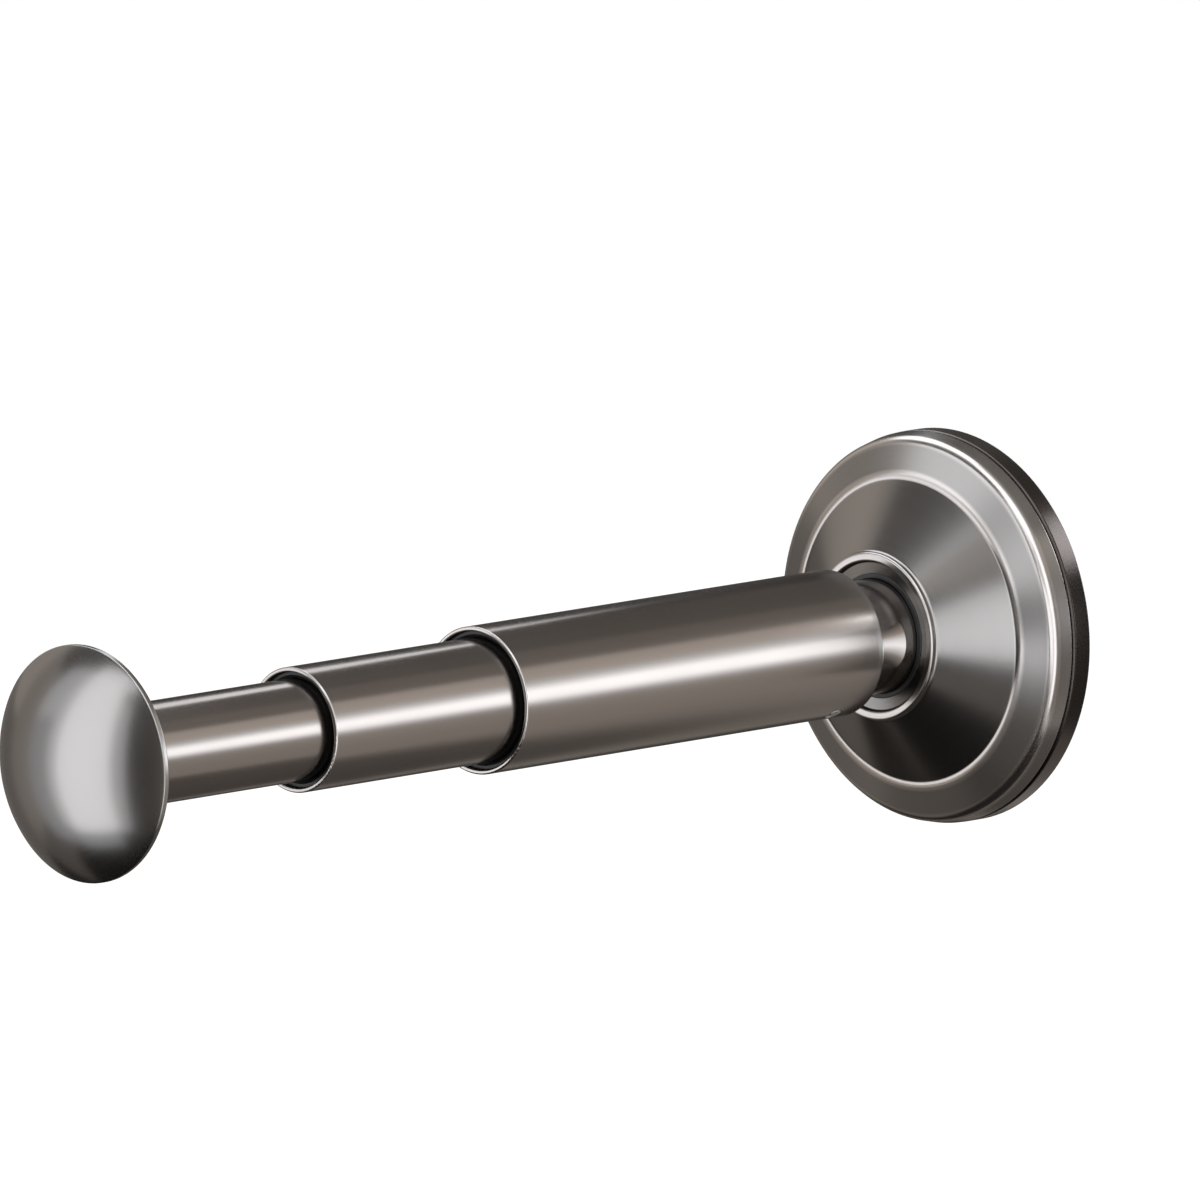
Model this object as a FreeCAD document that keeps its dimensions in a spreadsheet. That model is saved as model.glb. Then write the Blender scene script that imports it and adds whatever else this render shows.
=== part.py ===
"""A wall-held telescopic valet rod: a round flange, a neck, three nested tubes and a domed knob.

The origin is the centre of the wall plate's back face. +Y points into the wall, the rod
stands out along -Y and +Z is up. Every piece is drawn with its own Z axis along the rod,
pointing away from the wall, and is then laid down and moved out to its station, which is its
distance from the wall. All lengths are millimetres and all angles degrees.
"""
import FreeCAD, Part
import math
import os
import Sketcher

SIZES = (
    ("flange_diameter", 86, "outside of the wall plate and the cover"),
    ("plate_depth", 5.3, "depth of the wall plate's rim"),
    ("plate_web", 3.6, "thickness of the plate inside its rim"),
    ("plate_round", 0.8, "rounding of the rim's edges"),
    ("spigot_wall", 3.4, "radial thickness of the ring that centres the cover"),
    ("spigot_depth", 3.5, "how far that ring stands in front of the rim"),
    ("gasket_margin", 2.6, "from the plate's edge in to the gasket"),
    ("gasket_width", 6.0, "radial width of the foam gasket"),
    ("gasket_depth", 1.2, "thickness of the foam gasket"),
    ("wall_hole", 5.2, "diameter of the holes for the wall screws"),
    ("wall_sink", 9.6, "diameter of their countersinks"),
    ("o_ring_section", 1.2, "thickness of the rubber ring under the cover"),
    ("seam", 0.4, "gap between the plate's rim and the cover"),
    ("cover_wall", 1.2, "sheet thickness of the cover"),
    ("cover_gap", 0.4, "radial gap between the cover and the plate's centring ring"),
    ("cover_side", 4.7, "height of the cover's side"),
    ("cover_round", 1.4, "rounding between the side and the sloping face"),
    ("face_width", 9.9, "radial width of the sloping face"),
    ("face_rise", 2.8, "how far the face rises towards the cone"),
    ("foot_round", 2.5, "hollow rounding between the face and the cone"),
    ("cone_rise", 9.7, "height of the cone"),
    ("collar_diameter", 36.8, "outside of the collar on top of the cone"),
    ("collar_height", 1.3, "height of the collar above the cone"),
    ("collar_lip", 1.3, "radial thickness of the collar's crest"),
    ("collar_round", 1.0, "hollow rounding between the cone and the collar"),
    ("collar_recess", 1.7, "depth of the collar's floor below its crest"),
    ("grommet_wall", 0.8, "thickness of the black ring round the neck"),
    ("grommet_lip", 0.5, "width and thickness of that ring's lips"),
    ("socket_diameter", 34, "outside of the socket's barrel"),
    ("socket_height", 16.4, "height of the whole socket"),
    ("socket_flange", 44, "diameter of the socket's foot"),
    ("socket_foot", 6.0, "thickness of the socket's foot"),
    ("socket_round", 0.6, "rounding of the socket's edges"),
    ("screw_diameter", 4, "diameter of the fixing screws and set screws"),
    ("screw_head", 8, "head diameter of the countersunk screws"),
    ("screw_sink", 0.2, "depth of those heads below the plate's back"),
    ("screw_length", 8.4, "length of the countersunk screws with their heads"),
    ("key_size", 2.5, "width across the flats of the hexagon sockets"),
    ("key_depth", 1.6, "depth of the hexagon sockets"),
    ("neck_diameter", 25, "outside of the neck tube"),
    ("neck_wall", 1.5, "wall of the neck tube"),
    ("neck_clear", 11.8, "free length of the neck between the collar and the reducer"),
    ("reducer_shoulder", 2.0, "length of the reducer's shoulder"),
    ("reducer_spigot", 12.0, "length of the reducer inside the outer tube"),
    ("reducer_round", 0.8, "rounding of the shoulder's edge"),
    ("bumper_depth", 2.0, "thickness of the rubber bumper"),
    ("bumper_margin", 0.5, "how far the bumper stays inside the tubes beside it"),
    ("outer_diameter", 32, "outside of the outer tube"),
    ("outer_wall", 1.0, "wall of the outer tube"),
    ("outer_length", 106, "length of the outer tube"),
    ("middle_diameter", 27, "outside of the middle tube"),
    ("middle_wall", 1.0, "wall of the middle tube"),
    ("middle_reach", 54, "how far the middle tube stands out of the outer tube"),
    ("inner_diameter", 22, "outside of the inner tube"),
    ("inner_wall", 1.0, "wall of the inner tube"),
    ("inner_reach", 59.5, "how far the inner tube stands out of the middle tube"),
    ("closed_gap", 3.0, "what still shows of a stage that is pushed right in"),
    ("stop_gap", 0.5, "gap that is left behind a stage that is pushed right in"),
    ("bush_length", 10.0, "length of the guide bushes in the tubes' mouths"),
    ("bush_recess", 1.2, "depth of a bush behind its tube's mouth"),
    ("guide_length", 9.5, "length of the sliding guides"),
    ("guide_lip", 1.5, "thickness of a guide behind its tube"),
    ("guide_land", 2.5, "from a guide's back to its friction ring"),
    ("ring_width", 3.0, "width of the friction rings"),
    ("ring_wall", 0.8, "thickness of the friction rings"),
    ("ring_slit", 14, "degrees of a friction ring that are cut away"),
    ("pin_diameter", 2.0, "diameter of the guides' pins and the plug's pin"),
    ("plug_length", 12.0, "length of the threaded plug in the inner tube"),
    ("stud_diameter", 6, "diameter of the knob's stud"),
    ("stud_length", 18.0, "length of the knob's stud"),
    ("washer_depth", 0.5, "thickness of the washer behind the knob"),
    ("washer_margin", 0.5, "how far the washer stays inside the inner tube's outside"),
    ("knob_diameter", 50.8, "outside of the knob"),
    ("knob_rim", 2.2, "height of the knob's rim"),
    ("knob_crown", 10.6, "height of the dome above the rim"),
    ("knob_wall", 1.6, "thickness of the dome"),
    ("knob_round", 0.8, "rounding of the rim's edges"),
    ("back_recess", 0.4, "depth of the knob's back plate behind the rim's edge"),
    ("back_web", 1.2, "thickness of the knob's back plate"),
    ("hub_diameter", 14, "outside of the back plate's threaded hub"),
    ("hub_height", 7.0, "length of the hub"),
    ("fixed_fit", 0.02, "radial clearance of pieces that are fixed in each other"),
    ("running_fit", 0.05, "radial clearance of pieces that move in each other"),
)

WALL_HOLES = 4
SOCKET_SCREWS = 3
SOCKET_BEARING = -135       # the first set screw points down and to one side, the next to the other
SET_SCREW_SPREAD = 90
REDUCER_BEARING = -120      # both reducer screws are on the underside
REDUCER_SCREW_SPREAD = 60
PIN_BEARING = -90           # the first pin of each pair points down
ROUND_OVER = 0.35           # share of a tube's wall that each edge of its mouth loses


def total(*terms):
    """A sum, written as an expression."""
    return "(" + " + ".join(terms) + ")"


def less(whole, *terms):
    """What is left of a length, written as an expression."""
    return "(" + " - ".join((whole,) + terms) + ")"


def size(name):
    """A driving size, written as an expression."""
    return "dims." + name


def half(name):
    """Half a driving size, such as a radius, written as an expression."""
    return "(dims." + name + " / 2)"


def outside(tube):
    """Outer radius of one of the tubes."""
    return half(tube + "_diameter")


def bore(tube):
    """Inner radius of one of the tubes."""
    return less(outside(tube), size(tube + "_wall"))


FIT = size("fixed_fit")
RUNNING = size("running_fit")

# Stations: distances from the wall, worked out from the sizes.
WEB = size("plate_web")
COVER = total(size("plate_depth"), size("seam"))
CONE_TOP = total(size("cover_side"), size("face_rise"), size("cone_rise"))
CREST = total(CONE_TOP, size("collar_height"))
FLOOR = less(CREST, size("collar_recess"))
REDUCER = total(COVER, CREST, size("neck_clear"))
OUTER = total(REDUCER, size("reducer_shoulder"))
BUMPER = total(OUTER, size("reducer_spigot"))
OUTER_MOUTH = total(OUTER, size("outer_length"))
MIDDLE_MOUTH = total(OUTER_MOUTH, size("middle_reach"))
INNER_END = total(MIDDLE_MOUTH, size("inner_reach"))
KNOB = total(INNER_END, size("washer_depth"))

# A stage is as long as its tube can take in, with a little of it still showing when closed.
MIDDLE_LENGTH = less(total(size("outer_length"), size("closed_gap")), size("reducer_spigot"),
                     size("bumper_depth"), size("stop_gap"))
INNER_LENGTH = less(total(MIDDLE_LENGTH, size("closed_gap")), size("guide_lip"), size("stop_gap"))
MIDDLE = less(MIDDLE_MOUTH, MIDDLE_LENGTH)
INNER = less(INNER_END, INNER_LENGTH)

doc = FreeCAD.newDocument("valet_rod")
sheet = doc.addObject("Spreadsheet::Sheet", "dims")
for row, (alias, value, meaning) in enumerate(SIZES, start=1):
    sheet.set("A%d" % row, meaning)
    sheet.set("B%d" % row, str(value))
    sheet.setAlias("B%d" % row, alias)
doc.recompute()


def lay_down(piece, station, bearing=0):
    """Turn a piece about its own axis, lay it along the rod and move it out to its station."""
    along_rod = FreeCAD.Rotation(FreeCAD.Vector(1, 0, 0), 90)
    about_rod = FreeCAD.Rotation(FreeCAD.Vector(0, 0, 1), bearing)
    piece.Placement = FreeCAD.Placement(FreeCAD.Vector(0, 0, 0), along_rod.multiply(about_rod))
    piece.setExpression("Placement.Base.y", "-" + station)
    return piece


def new_sketch(body, label, role):
    """An empty sketch on one of the body's own origin planes."""
    sketch = body.newObject("Sketcher::SketchObject", label)
    plane = [item for item in body.Origin.OriginFeatures if item.Role == role][0]
    sketch.AttachmentSupport = (plane, [""])
    sketch.MapMode = "FlatFace"
    return sketch


def fix_point(sketch, edge, end, across, up):
    """Hold a point of the sketch at its distance from the axis and its height."""
    point = sketch.getPoint(edge, end)
    for kind, axis, distance, start in (("DistanceX", -2, across, point.x),
                                        ("DistanceY", -1, up, point.y)):
        if distance == "0":
            sketch.addConstraint(Sketcher.Constraint("PointOnObject", edge, end, axis))
        else:
            hold = Sketcher.Constraint(kind, -1, 1, edge, end, max(start, 1.0))
            place = sketch.addConstraint(hold)
            sketch.setExpression("Constraints[%d]" % place, distance)


def draw_outline(sketch, corners):
    """A closed outline of straight edges through corners given as (radius, height)."""
    count = len(corners)
    start = [FreeCAD.Vector(math.cos(turn), math.sin(turn), 0)
             for turn in (math.tau * step / count for step in range(count))]
    for step in range(count):
        sketch.addGeometry(Part.LineSegment(start[step], start[(step + 1) % count]), False)
    for step in range(count):
        sketch.addConstraint(Sketcher.Constraint("Coincident", step, 2, (step + 1) % count, 1))
    for step, (across, up) in enumerate(corners):
        fix_point(sketch, step, 1, across, up)


def spin_outline(body, sketch, slit=None):
    """Turn a sketch about the body's axis, leaving out a slit where one is given."""
    turning = body.newObject("PartDesign::Revolution", body.Label + "_turning")
    turning.Profile = sketch
    turning.ReferenceAxis = (sketch, ["V_Axis"])
    turning.Angle = 360
    if slit:
        turning.setExpression("Angle", "360 - " + slit)
    doc.recompute()
    return turning


def round_edges(body, sketch, rounds):
    """Round circular edges: rounds pairs the number of an outline's corner with a radius."""
    for corner, radius in rounds:
        feature = body.Tip
        point = sketch.Geometry[corner].StartPoint
        names = ["Edge%d" % number for number, edge in enumerate(feature.Shape.Edges, start=1)
                 if not edge.Degenerated and isinstance(edge.Curve, Part.Circle)
                 and abs(edge.Curve.Radius - point.x) < 1e-4
                 and abs(edge.Curve.Center.z - point.y) < 1e-4]
        fillet = body.newObject("PartDesign::Fillet", "%s_round_%d" % (body.Label, corner))
        fillet.Base = (feature, names)
        fillet.setExpression("Radius", radius)
        doc.recompute()


def turned(label, station, corners, rounds=(), bearing=0, slit=None):
    """A lathe-turned piece: an outline spun about the rod's axis, with some corners rounded."""
    body = doc.addObject("PartDesign::Body", label)
    body.Label = label
    sketch = new_sketch(body, label + "_outline", "XZ_Plane")
    draw_outline(sketch, corners)
    spin_outline(body, sketch, slit)
    round_edges(body, sketch, rounds)
    return lay_down(body, station, bearing)


def repeat(body, feature, count, angle):
    """Repeat a cut round the body's axis."""
    sketch = feature.Profile[0]
    pattern = body.newObject("PartDesign::PolarPattern", feature.Label + "_pattern")
    pattern.Originals = [feature]
    pattern.Axis = (sketch, ["V_Axis"])
    pattern.Angle = angle
    pattern.Occurrences = count
    body.Tip = pattern
    doc.recompute()


def check_cut(body, before):
    """Stop if a cut has taken nothing away."""
    doc.recompute()
    if body.Tip.Shape.Volume > before - 1e-3:
        raise RuntimeError(body.Label + ": a cut misses the solid")


def drill_along(body, label, circle, profile, count):
    """Holes along the rod on a circle: profile is half a hole's outline, as (radius, height)."""
    before = body.Tip.Shape.Volume
    sketch = new_sketch(body, label, "XZ_Plane")
    draw_outline(sketch, [(total(circle, across), up) for across, up in profile])
    axis = sketch.addGeometry(Part.LineSegment(FreeCAD.Vector(1, 0, 0), FreeCAD.Vector(1, 1, 0)), True)
    fix_point(sketch, axis, 1, circle, "0")
    fix_point(sketch, axis, 2, circle, "1")
    groove = body.newObject("PartDesign::Groove", label + "_cut")
    groove.Profile = sketch
    groove.ReferenceAxis = (sketch, ["Axis0"])
    groove.Angle = 360
    check_cut(body, before)
    repeat(body, groove, count, 360)


def drill_across(body, label, diameter, height, depth, count=1, spread=0):
    """Radial holes from the axis outwards: the first one lies along the body's own X axis."""
    before = body.Tip.Shape.Volume
    sketch = new_sketch(body, label, "YZ_Plane")
    circle = Part.Circle(FreeCAD.Vector(0, 1, 0), FreeCAD.Vector(0, 0, 1), 1)
    sketch.addGeometry(circle, False)
    fix_point(sketch, 0, 3, "0", height)
    bore_size = sketch.addConstraint(Sketcher.Constraint("Diameter", 0, 2.0))
    sketch.setExpression("Constraints[%d]" % bore_size, diameter)
    doc.recompute()
    pocket = body.newObject("PartDesign::Pocket", label + "_cut")
    pocket.Profile = sketch
    pocket.Type = "Length"
    pocket.setExpression("Length", depth)
    pocket.Reversed = True
    check_cut(body, before)
    if count > 1:
        repeat(body, pocket, count, spread)


def pin_solid(label, diameter, length):
    """A plain round pin that stands on the origin."""
    pin = doc.addObject("Part::Cylinder", label)
    pin.setExpression("Radius", diameter + " / 2")
    pin.setExpression("Height", length)
    return pin


def screw_solid(label, length, head=None):
    """A screw whose driven end is at the origin, with a hexagon socket and maybe a flat head."""
    shank = pin_solid(label + "_shank", size("screw_diameter"), length)
    solid = shank
    if head:
        cone = doc.addObject("Part::Cone", label + "_head")
        cone.setExpression("Radius1", head + " / 2")
        cone.setExpression("Radius2", half("screw_diameter"))
        cone.setExpression("Height", "(" + head + " - " + size("screw_diameter") + ") / 2")
        solid = doc.addObject("Part::MultiFuse", label + "_blank")
        solid.Shapes = [shank, cone]
    key = doc.addObject("Part::Prism", label + "_key")
    key.Polygon = 6
    key.setExpression("Circumradius", half("key_size") + " / cos(30 deg)")
    key.setExpression("Height", size("key_depth"))
    screw = doc.addObject("Part::Cut", label)
    screw.Base = solid
    screw.Tool = key
    return screw


def stand_along(piece, angle, circle, height):
    """Stand a fastener on a circle round the rod, along the rod."""
    piece.setExpression("Placement.Base.x", "%s * cos(%d deg)" % (circle, angle))
    piece.setExpression("Placement.Base.y", "%s * sin(%d deg)" % (circle, angle))
    piece.setExpression("Placement.Base.z", height)


def point_inwards(piece, angle, radius, height):
    """Point a fastener at the rod's axis, its outer end at a radius."""
    about_rod = FreeCAD.Rotation(FreeCAD.Vector(0, 0, 1), angle)
    inwards = FreeCAD.Rotation(FreeCAD.Vector(0, 1, 0), -90)
    piece.Placement = FreeCAD.Placement(FreeCAD.Vector(0, 0, 0), about_rod.multiply(inwards))
    stand_along(piece, angle, radius, height)


def group(label, pieces, station, bearing):
    """Like fasteners kept together as separate solids."""
    compound = doc.addObject("Part::Compound", label)
    compound.Label = label
    compound.Links = pieces
    return lay_down(compound, station, bearing)


def wall_plate():
    """The cast plate on the wall: its rim shows behind the cover, its ring centres the cover."""
    rim = half("flange_diameter")
    ring_outside = less(rim, size("cover_wall"), size("cover_gap"))
    ring_inside = less(ring_outside, size("spigot_wall"))
    ring_top = total(size("plate_depth"), size("spigot_depth"))
    gasket_outside = less(rim, size("gasket_margin"))
    gasket_inside = less(gasket_outside, size("gasket_width"))
    groove_floor = less(rim, size("cover_wall"), RUNNING, size("o_ring_section"), FIT)
    groove_middle = total(size("plate_depth"), half("spigot_depth"))
    groove_half = total(half("o_ring_section"), RUNNING)
    plate = turned("wall_plate", "0", [
        ("0", "0"), (gasket_inside, "0"), (gasket_inside, size("gasket_depth")),
        (gasket_outside, size("gasket_depth")), (gasket_outside, "0"), (rim, "0"),
        (rim, size("plate_depth")), (ring_outside, size("plate_depth")),
        (ring_outside, less(groove_middle, groove_half)),
        (groove_floor, less(groove_middle, groove_half)),
        (groove_floor, total(groove_middle, groove_half)),
        (ring_outside, total(groove_middle, groove_half)), (ring_outside, ring_top),
        (ring_inside, ring_top), (ring_inside, WEB), ("0", WEB),
    ], [(5, size("plate_round")), (6, size("plate_round"))], SOCKET_BEARING)
    hole_circle = "(%s + %s) / 2" % (half("socket_flange"), ring_inside)
    hole_wall = half("wall_hole")
    sink = half("wall_sink")
    drill_along(plate, "wall_holes", hole_circle, [
        ("0", "0"), (hole_wall, "0"), (hole_wall, less(WEB, less(sink, hole_wall))), (sink, WEB),
        ("0", WEB),
    ], WALL_HOLES)
    screw_wall = total(half("screw_diameter"), FIT)
    head_wall = total(half("screw_head"), FIT)
    head_end = total(size("screw_sink"), less(head_wall, screw_wall))
    drill_along(plate, "socket_holes", socket_circle(), [
        ("0", "0"), (head_wall, "0"), (head_wall, size("screw_sink")), (screw_wall, head_end),
        (screw_wall, WEB), ("0", WEB),
    ], SOCKET_SCREWS)


def wall_gasket():
    """The foam ring that seats the plate on the wall."""
    outer = less(half("flange_diameter"), size("gasket_margin"), FIT)
    inner = less(half("flange_diameter"), size("gasket_margin"), less(size("gasket_width"), FIT))
    turned("wall_gasket", "0", [(inner, "0"), (outer, "0"), (outer, size("gasket_depth")),
                                (inner, size("gasket_depth"))])


def cover_o_ring():
    """The rubber ring that grips the pushed-on cover from inside."""
    ring = doc.addObject("Part::Torus", "cover_o_ring")
    ring.Label = "cover_o_ring"
    ring.setExpression("Radius2", half("o_ring_section"))
    ring.setExpression("Radius1", less(half("flange_diameter"), size("cover_wall"), RUNNING,
                                       half("o_ring_section")))
    lay_down(ring, total(size("plate_depth"), half("spigot_depth")))


def socket_circle():
    """Radius of the circle of screws that hold the socket: the middle of its foot."""
    return "((%s + %s) / 2)" % (half("neck_diameter"), half("socket_flange"))


def tube_socket():
    """The turned socket on the plate that takes the neck."""
    hole = total(half("neck_diameter"), FIT)
    foot = half("socket_flange")
    barrel = half("socket_diameter")
    socket = turned("tube_socket", WEB, [
        (hole, "0"), (foot, "0"), (foot, size("socket_foot")), (barrel, size("socket_foot")),
        (barrel, size("socket_height")), (hole, size("socket_height")),
    ], [(2, size("socket_round")), (4, size("socket_round"))], SOCKET_BEARING)
    screw_wall = total(half("screw_diameter"), FIT)
    depth = less(total(size("screw_sink"), size("screw_length"), RUNNING), WEB)
    drill_along(socket, "socket_threads", socket_circle(), [
        ("0", "0"), (screw_wall, "0"), (screw_wall, depth), ("0", depth)], SOCKET_SCREWS)
    drill_across(socket, "set_screw_holes", total(size("screw_diameter"), FIT), set_screw_height(),
                 total(barrel, FIT), 2, SET_SCREW_SPREAD)


def set_screw_height():
    """Height of the set screws above the socket's back: the middle of its barrel."""
    return "((%s + %s) / 2)" % (size("socket_foot"), size("socket_height"))


def socket_screws():
    """Countersunk screws from the plate's back into the socket's foot."""
    screws = []
    for number in range(SOCKET_SCREWS):
        screw = screw_solid("socket_screw_%d" % (number + 1), size("screw_length"), size("screw_head"))
        stand_along(screw, 360 * number // SOCKET_SCREWS, socket_circle(), size("screw_sink"))
        screws.append(screw)
    group("socket_screws", screws, "0", SOCKET_BEARING)


def set_screws():
    """Set screws through the socket's barrel on to the neck."""
    length = less(half("socket_diameter"), half("neck_diameter"), FIT)
    screws = []
    for number in range(2):
        screw = screw_solid("set_screw_%d" % (number + 1), length)
        point_inwards(screw, SET_SCREW_SPREAD * number, half("socket_diameter"), set_screw_height())
        screws.append(screw)
    group("set_screws", screws, WEB, SOCKET_BEARING)


def flange_cover():
    """The spun cover: side, sloping face, cone and a hollow collar round the neck."""
    rim = half("flange_diameter")
    face_end = less(rim, size("face_width"))
    face_top = total(size("cover_side"), size("face_rise"))
    collar = half("collar_diameter")
    crest_inside = less(collar, size("collar_lip"))
    hole = total(half("neck_diameter"), size("grommet_wall"))
    wall = size("cover_wall")
    turned("flange_cover", COVER, [
        (less(rim, wall), "0"), (rim, "0"), (rim, size("cover_side")), (face_end, face_top),
        (collar, CONE_TOP), (collar, CREST), (crest_inside, CREST),
        (less(crest_inside, half("collar_lip")), FLOOR), (hole, FLOOR), (hole, less(FLOOR, wall)),
        (collar, less(FLOOR, wall)), (less(face_end, half("cover_wall")), less(face_top, wall)),
        (less(rim, wall), less(size("cover_side"), wall)),
    ], [(2, size("cover_round")), (3, size("foot_round")), (4, size("collar_round")),
        (5, size("collar_lip") + " * 0.46"), (6, size("collar_lip") + " * 0.46")])


def cover_grommet():
    """The black ring in the collar's hole: it slides on the neck without scratching it."""
    inner = total(half("neck_diameter"), RUNNING)
    waist = less(total(half("neck_diameter"), size("grommet_wall")), FIT)
    lip = size("grommet_lip")
    rear = total(COVER, less(FLOOR, size("cover_wall"), lip))
    front = total(lip, size("cover_wall"))
    turned("cover_grommet", rear, [
        (inner, "0"), (total(waist, lip), "0"), (total(waist, lip), lip), (waist, lip),
        (waist, front), (total(waist, lip), front), (total(waist, lip), total(front, lip)),
        (inner, total(front, lip)),
    ], [(6, lip + " * 0.6")])


def screw_station():
    """Station of the reducer screws: the middle of the reducer's spigot."""
    return total(OUTER, half("reducer_spigot"))


def neck_tube():
    """The neck: from the socket's floor to the front of the reducer."""
    neck = turned("neck_tube", WEB, [
        (bore("neck"), "0"), (outside("neck"), "0"), (outside("neck"), less(BUMPER, WEB)),
        (bore("neck"), less(BUMPER, WEB)),
    ], (), REDUCER_BEARING)
    drill_across(neck, "neck_screw_holes", total(size("screw_diameter"), FIT),
                 less(screw_station(), WEB), total(outside("neck"), FIT), 2, REDUCER_SCREW_SPREAD)


def tube_reducer():
    """The shouldered ring that carries the outer tube on the neck."""
    hole = total(outside("neck"), FIT)
    shoulder = outside("outer")
    spigot = less(bore("outer"), FIT)
    length = total(size("reducer_shoulder"), size("reducer_spigot"))
    reducer = turned("tube_reducer", REDUCER, [
        (hole, "0"), (shoulder, "0"), (shoulder, size("reducer_shoulder")),
        (spigot, size("reducer_shoulder")), (spigot, length), (hole, length),
    ], [(1, size("reducer_round"))], REDUCER_BEARING)
    drill_across(reducer, "reducer_screw_holes", total(size("screw_diameter"), FIT),
                 less(screw_station(), REDUCER), total(spigot, FIT), 2, REDUCER_SCREW_SPREAD)


def reducer_screws():
    """Screws through the outer tube and the reducer into the neck."""
    screws = []
    for number in range(2):
        screw = screw_solid("reducer_screw_%d" % (number + 1), less(outside("outer"), bore("neck")))
        point_inwards(screw, REDUCER_SCREW_SPREAD * number, outside("outer"), "0")
        screws.append(screw)
    group("reducer_screws", screws, screw_station(), REDUCER_BEARING)


def rear_bumper():
    """The rubber ring that stops the middle stage when it is pushed in."""
    inner = total(bore("neck"), size("bumper_margin"))
    outer = less(bore("outer"), size("bumper_margin"))
    turned("rear_bumper", BUMPER, [
        (inner, "0"), (outer, "0"), (outer, size("bumper_depth")), (inner, size("bumper_depth")),
    ], [(2, size("bumper_depth") + " / 4"), (3, size("bumper_depth") + " / 4")])


def mouth_rounds(tube):
    """Roundings of the two edges of a tube's mouth."""
    radius = "%s * %g" % (size(tube + "_wall"), ROUND_OVER)
    return [(2, radius), (3, radius)]


def outer_tube():
    """The fixed outer tube."""
    length = size("outer_length")
    tube = turned("outer_tube", OUTER, [
        (bore("outer"), "0"), (outside("outer"), "0"), (outside("outer"), length),
        (bore("outer"), length),
    ], mouth_rounds("outer"), REDUCER_BEARING)
    drill_across(tube, "outer_screw_holes", total(size("screw_diameter"), FIT),
                 half("reducer_spigot"), total(outside("outer"), FIT), 2, REDUCER_SCREW_SPREAD)


def mouth_bush(stage, carrier, mouth):
    """The black guide bush that a stage slides through, in its carrier's mouth."""
    inner = total(outside(stage), RUNNING)
    outer = less(bore(carrier), FIT)
    station = less(mouth, size("bush_recess"), size("bush_length"))
    turned(carrier + "_mouth_bush", station, [
        (inner, "0"), (outer, "0"), (outer, size("bush_length")), (inner, size("bush_length")),
    ], [(3, "%s / 4" % less(outer, inner))])


def pin_height():
    """Height of a guide's pins: the middle of the stretch in front of its friction ring."""
    ring_end = total(size("guide_land"), size("ring_width"))
    return "((%s + %s) / 2)" % (ring_end, size("guide_length"))


def stage_tube(stage, length, station):
    """A sliding tube, which starts in its guide."""
    tube = turned(stage + "_tube", station, [
        (bore(stage), size("guide_lip")), (outside(stage), size("guide_lip")),
        (outside(stage), length), (bore(stage), length),
    ], mouth_rounds(stage), PIN_BEARING)
    drill_across(tube, stage + "_pin_holes", total(size("pin_diameter"), FIT), pin_height(),
                 total(outside(stage), FIT), 2, 360)
    return tube


def groove_radius(carrier):
    """Radius of the floor of a guide's groove for its friction ring."""
    return less(bore(carrier), RUNNING, size("ring_wall"), RUNNING)


def rear_guide(stage, carrier, station):
    """The guide on a stage's rear end. It runs in the carrier and stops at the mouth bush."""
    seat = total(outside(stage), FIT)
    sliding = less(bore(carrier), RUNNING)
    floor = groove_radius(carrier)
    groove_end = total(size("guide_land"), size("ring_width"))
    guide = turned(stage + "_rear_guide", station, [
        (bore(stage), "0"), (sliding, "0"), (sliding, size("guide_land")),
        (floor, size("guide_land")), (floor, groove_end), (sliding, groove_end),
        (sliding, size("guide_length")), (seat, size("guide_length")), (seat, size("guide_lip")),
        (bore(stage), size("guide_lip")),
    ], (), PIN_BEARING)
    drill_across(guide, stage + "_guide_holes", total(size("pin_diameter"), FIT), pin_height(),
                 total(sliding, FIT), 2, 360)


def guide_pins(stage, carrier, station):
    """The two pins that fix a guide to its tube."""
    end = less(bore(carrier), RUNNING, RUNNING)
    pins = []
    for number in range(2):
        pin = pin_solid("%s_guide_pin_%d" % (stage, number + 1), size("pin_diameter"),
                        less(end, bore(stage)))
        point_inwards(pin, 180 * number, end, pin_height())
        pins.append(pin)
    group(stage + "_guide_pins", pins, station, PIN_BEARING)


def friction_ring(stage, carrier, station):
    """The split ring in a guide's groove that holds the stage where it is put."""
    inner = total(groove_radius(carrier), RUNNING)
    outer = less(bore(carrier), RUNNING)
    width = less(size("ring_width"), RUNNING, RUNNING)
    turned(stage + "_friction_ring", total(station, size("guide_land"), RUNNING), [
        (inner, "0"), (outer, "0"), (outer, width), (inner, width),
    ], (), PIN_BEARING, size("ring_slit"))


def end_plug(tube):
    """The threaded plug in the inner tube's front end, and the pin that holds it there."""
    thread = total(half("stud_diameter"), FIT)
    outer = less(bore("inner"), FIT)
    length = size("plug_length")
    rear = less(INNER_END, length)
    plug = turned("end_plug", rear, [
        (thread, "0"), (outer, "0"), (outer, length), (thread, length)], (), PIN_BEARING)
    hole = total(size("pin_diameter"), FIT)
    drill_across(plug, "plug_pin_hole", hole, half("plug_length"), total(outer, FIT))
    drill_across(tube, "tube_plug_hole", hole, less(INNER_LENGTH, half("plug_length")),
                 total(outside("inner"), FIT))
    pin = pin_solid("plug_pin_solid", size("pin_diameter"), less(outside("inner"), thread, FIT))
    point_inwards(pin, 0, less(outside("inner"), FIT), half("plug_length"))
    group("plug_pin", [pin], rear, PIN_BEARING)


def knob_washer():
    """The thin washer between the inner tube and the knob."""
    inner = total(half("stud_diameter"), FIT)
    outer = less(outside("inner"), size("washer_margin"))
    depth = size("washer_depth")
    turned("knob_washer", INNER_END, [(inner, "0"), (outer, "0"), (outer, depth), (inner, depth)])


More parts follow.
